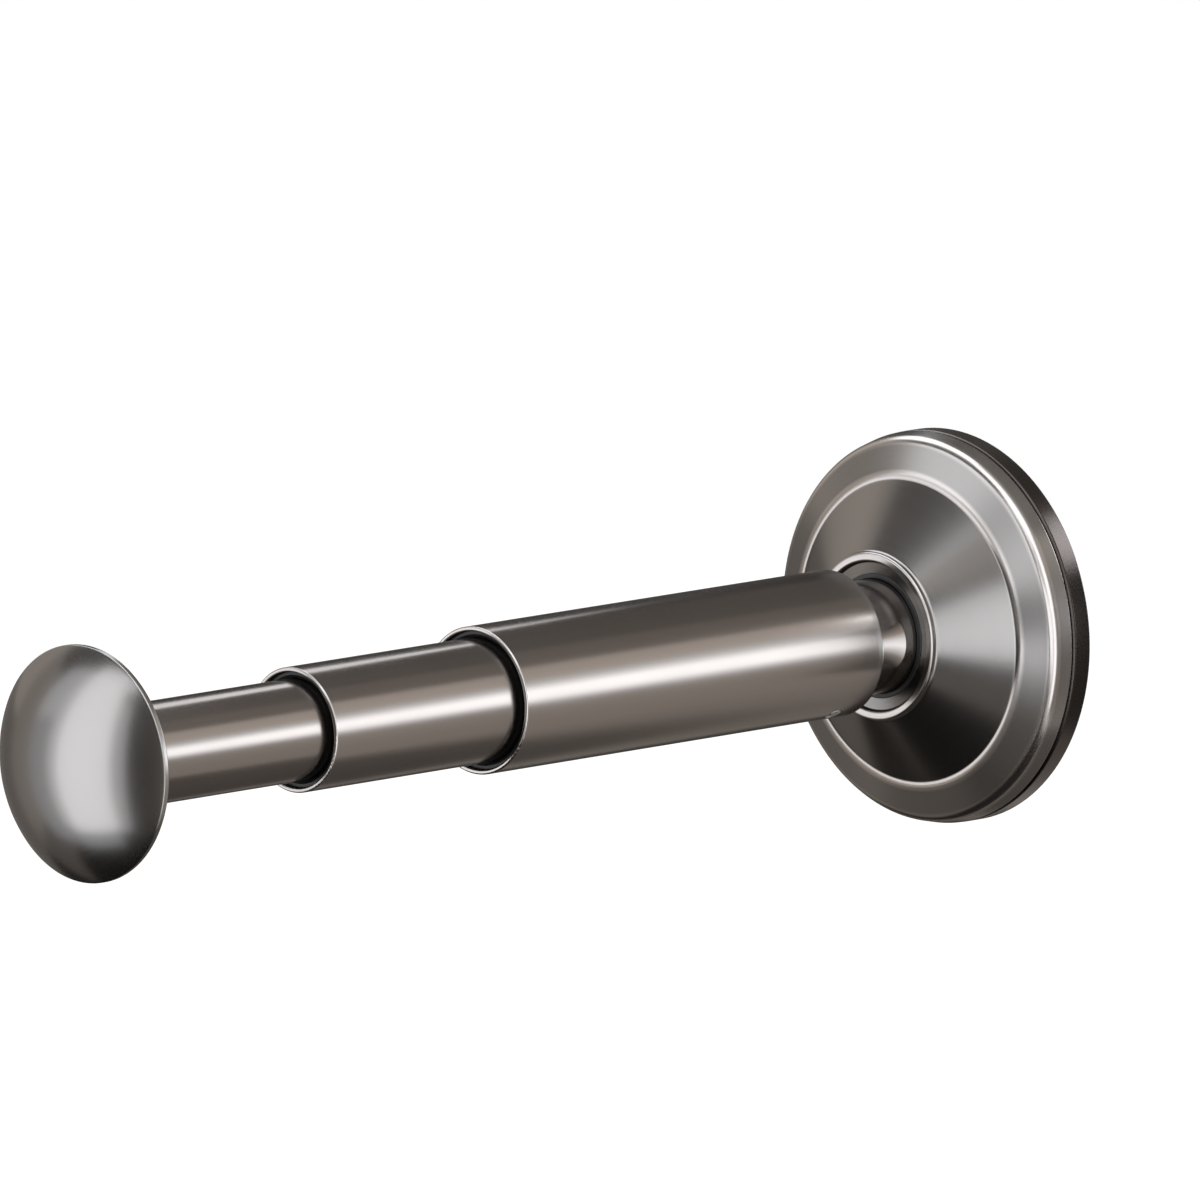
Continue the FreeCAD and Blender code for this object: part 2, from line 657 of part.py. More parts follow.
def knob_stud():
    """The stud that screws into the plug and the knob's hub, with a hexagon socket in its end."""
    rear = less(total(KNOB, size("hub_height")), size("stud_length"))
    stud = pin_solid("knob_stud_blank", size("stud_diameter"), size("stud_length"))
    key = doc.addObject("Part::Prism", "knob_stud_key")
    key.Polygon = 6
    key.setExpression("Circumradius", half("key_size") + " / cos(30 deg)")
    key.setExpression("Height", size("key_depth"))
    cut = doc.addObject("Part::Cut", "knob_stud")
    cut.Label = "knob_stud"
    cut.Base = stud
    cut.Tool = key
    lay_down(cut, rear)


def knob_back():
    """The turned back plate of the knob, with the threaded hub inside the dome."""
    thread = total(half("stud_diameter"), FIT)
    boss = less(outside("inner"), size("washer_margin"))
    edge = less(half("knob_diameter"), size("knob_wall"), FIT)
    web_front = total(size("back_recess"), size("back_web"))
    turned("knob_back", KNOB, [
        (thread, "0"), (boss, "0"), (boss, size("back_recess")), (edge, size("back_recess")),
        (edge, web_front), (half("hub_diameter"), web_front),
        (half("hub_diameter"), size("hub_height")), (thread, size("hub_height")),
    ])


def knob_dome():
    """The hollow domed front of the knob. Both its faces are arcs centred on the rod's axis."""
    body = doc.addObject("PartDesign::Body", "knob_dome")
    body.Label = "knob_dome"
    sketch = new_sketch(body, "knob_dome_outline", "XZ_Plane")
    rim = half("knob_diameter")
    crown = total(size("knob_rim"), size("knob_crown"))
    cavity = less(rim, size("knob_wall"))
    seat = total(size("back_recess"), size("back_web"), FIT)
    corners = [(cavity, "0"), (rim, "0"), (rim, size("knob_rim")), ("0", crown),
               ("0", less(crown, size("knob_wall"))), (cavity, seat)]
    start = [FreeCAD.Vector(across, up, 0)
             for across, up in ((24, 0), (25, 0), (25, 2), (0, 13), (0, 11), (24, 2))]
    arcs = {2: FreeCAD.Vector(10, 11.3, 0), 4: FreeCAD.Vector(10, 9.5, 0)}
    for step, corner in enumerate(start):
        following = start[(step + 1) % len(start)]
        if step in arcs:
            sketch.addGeometry(Part.Arc(corner, arcs[step], following), False)
        else:
            sketch.addGeometry(Part.LineSegment(corner, following), False)
    # An arc runs anticlockwise, so the outer one starts at the rim and the inner one ends there.
    ends = {step: (1, 2) for step in range(len(start))}
    ends[4] = (2, 1)
    for step in range(len(start)):
        following = (step + 1) % len(start)
        sketch.addConstraint(Sketcher.Constraint("Coincident", step, ends[step][1], following,
                                                 ends[following][0]))
    for step, (across, up) in enumerate(corners):
        fix_point(sketch, step, ends[step][0], across, up)
    for step in arcs:
        sketch.addConstraint(Sketcher.Constraint("PointOnObject", step, 3, -2))
    spin_outline(body, sketch)
    round_edges(body, sketch, [(1, size("knob_round")), (2, size("knob_round"))])
    lay_down(body, KNOB)


wall_plate()
wall_gasket()
cover_o_ring()
tube_socket()
socket_screws()
set_screws()
flange_cover()
cover_grommet()
neck_tube()
tube_reducer()
reducer_screws()
rear_bumper()
outer_tube()
mouth_bush("middle", "outer", OUTER_MOUTH)
stage_tube("middle", MIDDLE_LENGTH, MIDDLE)
rear_guide("middle", "outer", MIDDLE)
guide_pins("middle", "outer", MIDDLE)
friction_ring("middle", "outer", MIDDLE)
mouth_bush("inner", "middle", MIDDLE_MOUTH)
end_plug(stage_tube("inner", INNER_LENGTH, INNER))
rear_guide("inner", "middle", INNER)
guide_pins("inner", "middle", INNER)
friction_ring("inner", "middle", INNER)
knob_washer()
knob_stud()
knob_back()
knob_dome()
doc.recompute()

NODES = (
    "wall_plate", "wall_gasket", "cover_o_ring", "tube_socket", "socket_screws", "set_screws",
    "flange_cover", "cover_grommet", "neck_tube", "tube_reducer", "reducer_screws",
    "rear_bumper", "outer_tube", "outer_mouth_bush", "middle_tube", "middle_rear_guide",
    "middle_guide_pins", "middle_friction_ring", "middle_mouth_bush", "inner_tube",
    "inner_rear_guide", "inner_guide_pins", "inner_friction_ring", "end_plug", "plug_pin",
    "knob_washer", "knob_stud", "knob_back", "knob_dome",
)

for item in doc.Objects:
    if "Invalid" in item.State or "Error" in item.State:
        raise RuntimeError("%s failed: %s" % (item.Label, item.State))
os.makedirs("parts", exist_ok=True)
shapes = {}
for node in NODES:
    shape = doc.getObjectsByLabel(node)[0].Shape
    if shape.isNull() or not shape.isValid():
        raise RuntimeError(node + " has no valid shape")
    shapes[node] = shape
for node, shape in shapes.items():
    shape.exportStep("parts/%s.step" % node)
    box = shape.BoundBox
    print("%-22s %d solids %10.1f mm3  y %8.2f to %8.2f  radius %6.2f" % (
        node, len(shape.Solids), shape.Volume, box.YMin, box.YMax, box.XMax))
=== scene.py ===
"""Dresses a wall-held telescopic valet rod and lights it in a plain studio.

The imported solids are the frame. Tubes, neck, wall plate and inner works keep their solids
and get their finishes. The spun cover, the knob, the bushes, the grommet and the gasket are
made again with finer edges, from outlines that are turned about the rod, and the fasteners
are made again and set round it. The rod runs along -Y from the wall at Y = 0, and +Z is up.
Lengths are metres, and a station is a distance from the wall.
"""
import math

import bpy
from bpy.props import (BoolProperty, FloatProperty, FloatVectorProperty, IntProperty,
                       PointerProperty)
from mathutils import Matrix, Vector


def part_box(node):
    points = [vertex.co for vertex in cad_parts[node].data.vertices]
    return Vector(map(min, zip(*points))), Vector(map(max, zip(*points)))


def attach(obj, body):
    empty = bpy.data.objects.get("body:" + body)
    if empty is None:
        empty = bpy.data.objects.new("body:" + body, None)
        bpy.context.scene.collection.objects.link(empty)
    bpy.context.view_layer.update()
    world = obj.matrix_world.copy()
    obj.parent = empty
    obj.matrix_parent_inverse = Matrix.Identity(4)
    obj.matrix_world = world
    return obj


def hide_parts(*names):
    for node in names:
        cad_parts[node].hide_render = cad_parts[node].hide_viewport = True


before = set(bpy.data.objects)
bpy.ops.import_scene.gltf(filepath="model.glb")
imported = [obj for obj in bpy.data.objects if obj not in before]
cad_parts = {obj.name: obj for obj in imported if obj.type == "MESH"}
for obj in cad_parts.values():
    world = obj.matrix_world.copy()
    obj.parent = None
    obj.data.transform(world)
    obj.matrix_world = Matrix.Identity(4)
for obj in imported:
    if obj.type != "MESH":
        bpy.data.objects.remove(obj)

bl_info = {
    "name": "Valet Rod",
    "version": (1, 0, 0),
    "blender": (4, 5, 0),
    "location": "View3D > Sidebar > Valet Rod",
    "description": "Finishes, fine parts and studio for a wall-held telescopic valet rod",
    "category": "Object",
}

MM = 0.001
SMALLEST = 1e-6             # points of a mesh closer than this are one point
SHARP_EDGE = math.radians(32)
BROAD_FACES = 80            # how far broad faces rule a piece's shading, where 50 is neutral
SLIDE_GAP = 0.05 * MM       # between a tube and the bush or grommet round it


def linear(hex_colour):
    """An sRGB colour such as "7C7671" as linear red, green and blue."""
    parts = [int(hex_colour[place:place + 2], 16) / 255 for place in (0, 2, 4)]
    return [part / 12.92 if part <= 0.04045 else ((part + 0.055) / 1.055) ** 2.4 for part in parts]


def opaque(colour):
    """A colour as the four numbers that a shader socket takes."""
    return (*colour, 1.0)


def extent(node):
    """A turned node's outer radius, and the stations of its rear and its front."""
    low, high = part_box(node)
    return high.x, -high.y, -low.y


# ------------------------------------ settings

def length(name, description, default):
    """A length in metres that a user may change."""
    return FloatProperty(name=name, description=description, default=default, min=0.0,
                         subtype="DISTANCE", unit="LENGTH", precision=5)


def colour(name, description, hex_colour):
    """A colour that a user may change, kept linear."""
    return FloatVectorProperty(name=name, description=description, size=3, min=0.0, max=1.0,
                               subtype="COLOR", default=linear(hex_colour))


class CoverSizes(bpy.types.PropertyGroup):
    """Sizes of the spun cover and the knob."""
    sheet: length("Sheet", "Thickness of the spun sheet", 1.2 * MM)
    side: length("Side", "Height of the cover's side", 4.7 * MM)
    shoulder: length("Shoulder", "Rounding between the side and the face", 2.4 * MM)
    face_width: length("Face width", "Radial width of the sloping face", 9.9 * MM)
    face_rise: length("Face rise", "How far the face rises towards the cone", 2.8 * MM)
    draft: length("Draft", "How much the side narrows towards the face", 1.0 * MM)
    bend: length("Bend", "Rounding of the face's inner edge", 3.0 * MM)
    land: length("Land", "Width of the flat between the face and the cone", 1.0 * MM)
    foot: length("Foot", "Hollow rounding at the foot of the cone", 0.5 * MM)
    cone_rise: length("Cone rise", "Height of the cone", 9.7 * MM)
    collar_radius: length("Collar radius", "Outer radius of the collar", 18.4 * MM)
    collar_foot: length("Collar foot", "Hollow rounding at the foot of the collar", 1.0 * MM)
    crest: length("Crest", "Width of the collar's crest", 1.9 * MM)
    recess: length("Recess", "Depth of the collar's floor below its crest", 1.0 * MM)
    knob_rim: length("Knob rim", "Height of the knob's rim", 1.5 * MM)
    knob_wall: length("Knob wall", "Thickness of the knob's dome", 1.6 * MM)
    knob_edge: length("Knob edge", "Rounding of the knob's rim", 0.6 * MM)
    facets: IntProperty(name="Facets", description="Facets round a turned part", default=192,
                        min=24, max=512)
    corner_facets: IntProperty(name="Corner facets", description="Facets of a rounded corner",
                               default=7, min=1, max=24)


class RodFinishes(bpy.types.PropertyGroup):
    """Colours of the rod's finishes."""
    tube: colour("Tube", "Satin black nickel on drawn tube", "7E7A77")
    spun: colour("Spun parts", "Satin black nickel on spun steel", "7D7B79")
    casting: colour("Casting", "Dark plating on the cast wall plate", "3D3937")
    # A painted highlight: the lighter tint of the cover's edges and the tubes' mouths.
    edge_highlight: colour("Edge highlight", "Painted highlight along edges", "A09C99")
    turned: colour("Turned steel", "Bare turned steel", "B4B1AD")
    zinc: colour("Fasteners", "Zinc-plated fasteners", "BFC0C0")
    nylon: colour("Nylon", "Black nylon bushes and guides", "171616")
    rubber: colour("Rubber", "Black rubber rings", "1C1B1B")
    foam: colour("Foam", "Grey closed-cell foam", "55555A")


class StudioSettings(bpy.types.PropertyGroup):
    """The studio round the rod."""
    floor_drop: length("Floor drop", "How far the floor lies below the rod's axis", 0.9)
    floor_size: length("Floor size", "Side of the square floor", 8.0)
    floor: colour("Floor", "Pale floor", "F6F6F5")
    lamps: FloatProperty(name="Lamps", description="Strength of all lamps together", default=1.0,
                         min=0.0)
    ambient: FloatProperty(name="Ambient", description="Strength of the even light from all sides",
                           default=0.45, min=0.0)
    lens: FloatProperty(name="Lens", description="Focal length of the camera in millimetres",
                        default=840.0, min=50.0)
    azimuth: FloatProperty(name="Azimuth", description="The camera's bearing from the -Y axis",
                           subtype="ANGLE", unit="ROTATION", default=math.radians(45.66))
    elevation: FloatProperty(name="Elevation", description="The camera's height over the horizon",
                             subtype="ANGLE", unit="ROTATION", default=math.radians(9.36))
    lamp_colour: colour("Lamp colour", "Slightly cool light of lamps and white card", "F9FBFF")
    cloth_colour: colour("Cloth colour", "Slightly warm cloth of the tent", "FFF4EA")
    tent: BoolProperty(name="Tent", description="Hang grey and white panels that metal reflects",
                       default=True)


# ------------------------------------ nodes and finishes

def add_node(tree, kind, links=None, **settings):
    """Add a node with its settings. An input takes a value, a socket or a node's first output."""
    node = tree.nodes.new(kind)
    for name, value in settings.items():
        setattr(node, name, value)
    for name, value in (links or {}).items():
        if isinstance(value, bpy.types.Node):
            value = value.outputs[0]
        if isinstance(value, bpy.types.NodeSocket):
            tree.links.new(value, node.inputs[name])
        else:
            node.inputs[name].default_value = value
    return node


def make_finish(name, build, *values):
    """A material whose nodes `build` adds. The shader that it returns is the material's."""
    finish = bpy.data.materials.new(name)
    finish.use_nodes = True
    tree = finish.node_tree
    tree.nodes.clear()
    add_node(tree, "ShaderNodeOutputMaterial", {"Surface": build(tree, *values)})
    return finish


def about_rod(tree, place):
    """A point's distance from the rod's axis, and its Y."""
    axes = add_node(tree, "ShaderNodeSeparateXYZ", {0: place}).outputs
    across = add_node(tree, "ShaderNodeCombineXYZ", {0: axes["X"], 1: axes["Z"]})
    radius = add_node(tree, "ShaderNodeVectorMath", {0: across}, operation="LENGTH")
    return radius.outputs["Value"], axes["Y"]


def black_nickel(tree, base, roughness, drawn, highlight_tint=None, edges=()):
    """Black nickel, plated and then brushed to a satin: a dark warm-grey mirror, slightly blurred.

    Drawn tube keeps faint die lines along the rod, spun sheet keeps faint rings round it.
    Both are drawn 0.5 mm apart, because the real ones are too fine to show. A fine grain
    0.25 mm across breaks the gloss, as satin plating does, and hands leave it uneven in
    patches about 20 mm across. Along the given edges the colour is lightened towards a
    brighter tint, as a painted highlight line. Each edge is a circle: (radius, station, reach
    of the painted highlight).
    """
    fine, grains = 1 / (0.5 * MM), 1 / (0.25 * MM)      # lines and grains to a metre
    waves, patches = 12.0, 45.0                         # slow changes to a metre
    dark_edge = (0.55, 0.55, 0.55)      # brightens less than other metals at a low angle
    place = add_node(tree, "ShaderNodeTexCoord").outputs["Object"]
    radius, along = about_rod(tree, place)
    profile = add_node(tree, "ShaderNodeCombineXYZ", {0: radius, 1: along})
    if drawn:
        lines = add_node(tree, "ShaderNodeVectorMath", {0: place, 1: (fine, waves, fine)},
                         operation="MULTIPLY")
    else:
        rings = add_node(tree, "ShaderNodeVectorMath", {0: profile, 1: (fine, fine, 0)},
                         operation="MULTIPLY")
        lines = add_node(tree, "ShaderNodeVectorMath", {
            0: place, 1: (waves, waves, waves), 2: rings}, operation="MULTIPLY_ADD")
    line, grain, handled = (
        add_node(tree, "ShaderNodeTexNoise", {"Vector": vector, "Scale": scale, "Detail": detail})
        for vector, scale, detail in (
            (lines, 1.0, 2.0), (place, grains, 1.0), (place, patches, 3.0)))
    changes = ((line, 0.05), (grain, 0.06), (handled, 0.06))
    gloss = roughness - 0.5 * sum(change for _, change in changes)
    for pattern, change in changes:
        gloss = add_node(tree, "ShaderNodeMath", {0: pattern, 1: change, 2: gloss},
                         operation="MULTIPLY_ADD")
    tone = add_node(tree, "ShaderNodeMath", {0: grain, 1: 0.08, 2: 0.96},
                    operation="MULTIPLY_ADD")
    tint = add_node(tree, "ShaderNodeVectorMath", {0: tuple(base), "Scale": tone},
                    operation="SCALE")
    # Painted highlight: near each edge circle the colour goes over to the lighter tint.
    for edge_radius, station, reach in edges:
        distance = add_node(tree, "ShaderNodeVectorMath", {
            0: profile, 1: (edge_radius, -station, 0)}, operation="DISTANCE").outputs["Value"]
        painted_highlight = add_node(tree, "ShaderNodeMapRange", {
            "Value": distance, "From Min": reach, "From Max": 0.5 * reach})
        tint = add_node(tree, "ShaderNodeMix", {"Factor": painted_highlight, "A": tint, "B": opaque(highlight_tint)},
                        data_type="RGBA").outputs["Result"]
    relief = add_node(tree, "ShaderNodeBump", {
        "Strength": 0.06, "Distance": 0.02 * MM, "Height": line})
    return add_node(tree, "ShaderNodeBsdfPrincipled", {
        "Base Color": tint, "Metallic": 1.0, "Roughness": gloss, "Normal": relief,
        "Specular Tint": opaque(dark_edge)})


def cast_plating(tree, base):
    """Dark plating on a zinc casting: the mould's soft unevenness shows under a half gloss.

    The unevenness is about 6 mm across and the pores under 1 mm.
    """
    place = add_node(tree, "ShaderNodeTexCoord").outputs["Object"]
    swell, pores = (
        add_node(tree, "ShaderNodeTexNoise", {"Vector": place, "Scale": scale, "Detail": 1.0})
        for scale in (160.0, 1500.0))
    gloss = add_node(tree, "ShaderNodeMapRange", {"Value": pores, "To Min": 0.25, "To Max": 0.30})
    relief = add_node(tree, "ShaderNodeBump", {
        "Strength": 0.02, "Distance": 0.1 * MM, "Height": swell})
    return add_node(tree, "ShaderNodeBsdfPrincipled", {
        "Base Color": opaque(base), "Metallic": 1.0, "Roughness": gloss, "Normal": relief})


def turned_steel(tree, base, pitch):
    """Bare or zinc-plated steel off the lathe: fine tool rings, one pitch apart, catch the light.

    Patches about 3 mm across are a little duller, where coolant dried.
    """
    place = add_node(tree, "ShaderNodeTexCoord").outputs["Object"]
    radius, along = about_rod(tree, place)
    travel = add_node(tree, "ShaderNodeMath", {0: radius, 1: along}, operation="ADD")
    phase = add_node(tree, "ShaderNodeMath", {0: travel, 1: math.tau / pitch},
                     operation="MULTIPLY")
    ring = add_node(tree, "ShaderNodeMath", {0: phase}, operation="SINE")
    patch = add_node(tree, "ShaderNodeTexNoise", {"Vector": place, "Scale": 300.0, "Detail": 3.0})
    gloss = add_node(tree, "ShaderNodeMapRange", {"Value": patch, "To Min": 0.22, "To Max": 0.42})
    relief = add_node(tree, "ShaderNodeBump", {
        "Strength": 0.2, "Distance": 0.02 * MM, "Height": ring})
    return add_node(tree, "ShaderNodeBsdfPrincipled", {
        "Base Color": opaque(base), "Metallic": 1.0, "Roughness": gloss, "Normal": relief})


def moulded_black(tree, base, roughness, grain, depth):
    """Moulded nylon or rubber: nearly black, with the mould's fine spark-eroded grain."""
    place = add_node(tree, "ShaderNodeTexCoord").outputs["Object"]
    pits = add_node(tree, "ShaderNodeTexNoise", {
        "Vector": place, "Scale": 1 / grain, "Detail": 3.0})
    gloss = add_node(tree, "ShaderNodeMapRange", {
        "Value": pits, "To Min": roughness - 0.08, "To Max": roughness + 0.08})
    relief = add_node(tree, "ShaderNodeBump", {
        "Strength": 0.3, "Distance": depth, "Height": pits})
    return add_node(tree, "ShaderNodeBsdfPrincipled", {
        "Base Color": opaque(base), "Roughness": gloss, "Normal": relief})


def skived_foam(tree, base):
    """Closed-cell foam, skived: open cells about 0.5 mm across on dull grey, with painted shade
    inside them.
    """
    place = add_node(tree, "ShaderNodeTexCoord").outputs["Object"]
    cells = add_node(tree, "ShaderNodeTexVoronoi", {"Vector": place, "Scale": 1 / (0.5 * MM)})
    # Painted shade: each cell's colour darkens towards its middle, where its pit is deepest.
    depth = add_node(tree, "ShaderNodeMapRange", {
        "Value": cells, "From Max": 0.6, "To Min": 0.55, "To Max": 1.15})
    tint = add_node(tree, "ShaderNodeVectorMath", {0: tuple(base), "Scale": depth},
                    operation="SCALE")
    relief = add_node(tree, "ShaderNodeBump", {
        "Strength": 0.6, "Distance": 0.2 * MM, "Height": cells})
    return add_node(tree, "ShaderNodeBsdfPrincipled", {
        "Base Color": tint, "Roughness": 0.9, "Normal": relief})


# The record's slots and the finishes that fill them.
FINISHES = {
    "satin_gunmetal": "satin_black_nickel_on_drawn_tube",
    "spun_gunmetal": "satin_black_nickel_on_spun_steel",
    "cast_gunmetal": "black_nickel_on_zinc_casting",
    "turned_steel": "bare_turned_steel",
    "zinc_screw": "zinc_plated_steel",
    "black_nylon": "moulded_black_nylon",
    "black_rubber": "black_nitrile_rubber",
    "grey_foam": "grey_closed_cell_foam",
}
TUBE_ROUGHNESS, SPUN_ROUGHNESS = 0.20, 0.24


def finish_of(slot):
    """The material made for one of the record's slots."""
    return bpy.data.materials[FINISHES[slot]]


# ------------------------------------ geometry nodes

def new_shape_tree(name, sizes):
    """A geometry node tree with a geometry input, the given inputs, a finish and an output."""
    tree = bpy.data.node_groups.new(name, "GeometryNodeTree")
    tree.interface.new_socket("Geometry", in_out="INPUT", socket_type="NodeSocketGeometry")
    for label, kind in sizes:
        tree.interface.new_socket(label, in_out="INPUT", socket_type="NodeSocket" + kind)
    tree.interface.new_socket("Finish", in_out="INPUT", socket_type="NodeSocketMaterial")
    tree.interface.new_socket("Geometry", in_out="OUTPUT", socket_type="NodeSocketGeometry")
    return tree, add_node(tree, "NodeGroupInput").outputs


def finish_tree(tree, shape, finish):
    """End a tree: make its instances real and give them their finish."""
    real = add_node(tree, "GeometryNodeRealizeInstances", {"Geometry": shape})
    dressed = add_node(tree, "GeometryNodeSetMaterial", {"Geometry": real, "Material": finish})
    add_node(tree, "NodeGroupOutput", {"Geometry": dressed})
    return tree


def lathe_tree(name):
    """Turns a closed outline, drawn as (radius, -station), about the rod's axis.

    Each point of the outline carries its own rounding, which Fillet Curve cuts. A grid has
    one column of vertices for each facet and one row for each point of the rounded outline.
    """
    tree, given = new_shape_tree(name, (("Facets", "Int"), ("Corner Facets", "Int")))
    rounding = add_node(tree, "GeometryNodeInputNamedAttribute", {"Name": "rounding"},
                        data_type="FLOAT").outputs["Attribute"]
    curve = add_node(tree, "GeometryNodeMeshToCurve", {"Mesh": given["Geometry"]})
    outline = add_node(tree, "GeometryNodeFilletCurve", {
        "Curve": curve, "Count": given["Corner Facets"], "Radius": rounding,
        "Limit Radius": True}, mode="POLY")
    points = add_node(tree, "GeometryNodeAttributeDomainSize", {"Geometry": outline},
                      component="CURVE").outputs["Point Count"]
    rows = add_node(tree, "ShaderNodeMath", {0: points, 1: 1.0}, operation="ADD")
    columns = add_node(tree, "ShaderNodeMath", {0: given["Facets"], 1: 1.0}, operation="ADD")
    grid = add_node(tree, "GeometryNodeMeshGrid", {"Vertices X": columns, "Vertices Y": rows})
    index = add_node(tree, "GeometryNodeInputIndex")
    column = add_node(tree, "ShaderNodeMath", {0: index, 1: rows}, operation="DIVIDE")
    column = add_node(tree, "ShaderNodeMath", {0: column}, operation="FLOOR")
    row = add_node(tree, "ShaderNodeMath", {0: index, 1: rows}, operation="MODULO")
    row = add_node(tree, "ShaderNodeMath", {0: row, 1: points}, operation="MODULO")
    place = add_node(tree, "GeometryNodeInputPosition")
    point = add_node(tree, "GeometryNodeSampleIndex", {
        "Geometry": outline, "Value": place, "Index": row},
        data_type="FLOAT_VECTOR", domain="POINT")
    turn = add_node(tree, "ShaderNodeMath", {0: column, 1: given["Facets"]}, operation="DIVIDE")
    turn = add_node(tree, "ShaderNodeMath", {0: turn, 1: math.tau}, operation="MULTIPLY")
    turned = add_node(tree, "ShaderNodeVectorRotate", {
        "Vector": point, "Axis": (0, 1, 0), "Angle": turn})
    body = add_node(tree, "GeometryNodeSetPosition", {"Geometry": grid, "Position": turned})
    closed = add_node(tree, "GeometryNodeMergeByDistance", {
        "Geometry": body, "Distance": SMALLEST})
    return finish_tree(tree, closed, given["Finish"])


def ring_tree(name):
    """Sets copies of one fastener round the rod, lying along it or pointing at its axis."""
    tree, given = new_shape_tree(name, (
        ("Count", "Int"), ("First Bearing", "Float"), ("Spread", "Float"),
        ("Radius", "Float"), ("Station", "Float"), ("Inwards", "Bool")))
    points = add_node(tree, "GeometryNodePoints", {"Count": given["Count"]})
    index = add_node(tree, "GeometryNodeInputIndex")
    bearing = add_node(tree, "ShaderNodeMath", {
        0: index, 1: given["Spread"], 2: given["First Bearing"]}, operation="MULTIPLY_ADD")
    station = add_node(tree, "ShaderNodeMath", {0: given["Station"], 1: -1.0},
                       operation="MULTIPLY")
    arm = add_node(tree, "ShaderNodeCombineXYZ", {0: given["Radius"], 1: station})
    counter = add_node(tree, "ShaderNodeMath", {0: bearing, 1: -1.0}, operation="MULTIPLY")
    place = add_node(tree, "ShaderNodeVectorRotate", {
        "Vector": arm, "Axis": (0, 1, 0), "Angle": counter})
    # A fastener is drawn along -Y with its driven end at the origin.
    tip = add_node(tree, "ShaderNodeMath", {0: given["Inwards"], 1: -math.pi / 2},
                   operation="MULTIPLY")
    tilt, swing = (
        add_node(tree, "FunctionNodeEulerToRotation", {
            0: add_node(tree, "ShaderNodeCombineXYZ", {axis: angle})})
        for axis, angle in ((2, tip), (1, counter)))
    turned = add_node(tree, "FunctionNodeRotateRotation", {0: tilt, 1: swing},
                      rotation_space="GLOBAL")
    placed = add_node(tree, "GeometryNodeSetPosition", {"Geometry": points, "Position": place})
    copies = add_node(tree, "GeometryNodeInstanceOnPoints", {
        "Points": placed, "Instance": given["Geometry"], "Rotation": turned})
    return finish_tree(tree, copies, given["Finish"])


def shape_tree(name, maker):
    """A geometry node tree, made the first time that it is asked for."""
    return bpy.data.node_groups.get(name) or maker(name)


def keep_result(piece, modifier):
    """Make what a piece's modifier gives its plain mesh, and take the modifier off."""
    bpy.context.view_layer.update()
    made = piece.evaluated_get(bpy.context.evaluated_depsgraph_get())
    mesh, before = bpy.data.meshes.new_from_object(made), piece.data
    piece.modifiers.remove(modifier)
    piece.data = mesh
    bpy.data.meshes.remove(before)
    mesh.name = piece.name
    return mesh


def grow(name, seed, tree, values):
    """Run a geometry node tree on a seed mesh, and keep the result as a piece of plain mesh.

    It is shaded smooth, keeps its sharp edges, and lets its broad faces rule the shading.
    """
    piece = bpy.data.objects.new(name, seed)
    bpy.context.scene.collection.objects.link(piece)
    growth = piece.modifiers.new("growth", "NODES")
    growth.node_group = tree
    sockets = {item.name: item.identifier for item in tree.interface.items_tree
               if item.in_out == "INPUT"}
    for label, value in values.items():
        growth[sockets[label]] = value
    mesh = keep_result(piece, growth)
    for place in reversed(range(len(mesh.materials))):
        if mesh.materials[place] is None:
            mesh.materials.pop(index=place)
    if not mesh.polygons:
        raise RuntimeError(name + " came out empty")
    face_outwards(mesh)
    mesh.shade_smooth()
    mesh.set_sharp_from_angle(angle=SHARP_EDGE)
    shading = piece.modifiers.new("shading", "WEIGHTED_NORMAL")
    shading.keep_sharp = True
    shading.weight = BROAD_FACES
    keep_result(piece, shading)
    return piece


def face_outwards(mesh):
    """Turn a closed mesh's faces outwards if its volume comes out negative."""
    volume = 0.0
    for face in mesh.polygons:
        corners = [mesh.vertices[index].co for index in face.vertices]
        for step in range(1, len(corners) - 1):
            volume += corners[0].dot(corners[step].cross(corners[step + 1]))
    if volume < 0:
        mesh.flip_normals()


def fit_on(piece, body, node):
    """Let a piece ride on its body and stand for its node, whose solid is hidden."""
    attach(piece, body)
    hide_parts(node)


def turn_part(name, node, body, slot, outline, finish=None):
    """Turn a part from its outline, whose points are (radius, station, rounding), and fit it."""
    sizes = bpy.context.scene.rod_sizes
    seed = bpy.data.meshes.new(name + "_outline")
    count = len(outline)
    seed.from_pydata([(radius, -station, 0) for radius, station, _ in outline],
                     [(step, (step + 1) % count) for step in range(count)], [])
    rounding = seed.attributes.new("rounding", "FLOAT", "POINT")
    rounding.data.foreach_set("value", [corner for _, _, corner in outline])
    piece = grow(name, seed, shape_tree("Turn about the rod", lathe_tree), {
        "Facets": sizes.facets, "Corner Facets": sizes.corner_facets,
        "Finish": finish or finish_of(slot)})
    fit_on(piece, body, node)


# ------------------------------------ fasteners

THREAD, PITCH = 2.0 * MM, 0.7 * MM      # radius and pitch of the screws' threads
KEY = 2.5 * MM / math.sqrt(3)           # radius of a 2.5 mm hexagon at its corners
# Rings of a hexagon socket, from its drilled floor to its edge, and of a screw's end round it.
SOCKET = [("round", 0.3 * MM, 1.9 * MM), ("hex", KEY, 1.6 * MM), ("hex", KEY, 0.15 * MM),
          ("round", 1.6 * MM, 0.0)]
COUNTERSUNK = [("round", 3.8 * MM, 0.0), ("round", 4.0 * MM, 0.1 * MM),
               ("round", THREAD, 2.0 * MM)]
GRUB_END = [("round", 1.75 * MM, 0.0)]


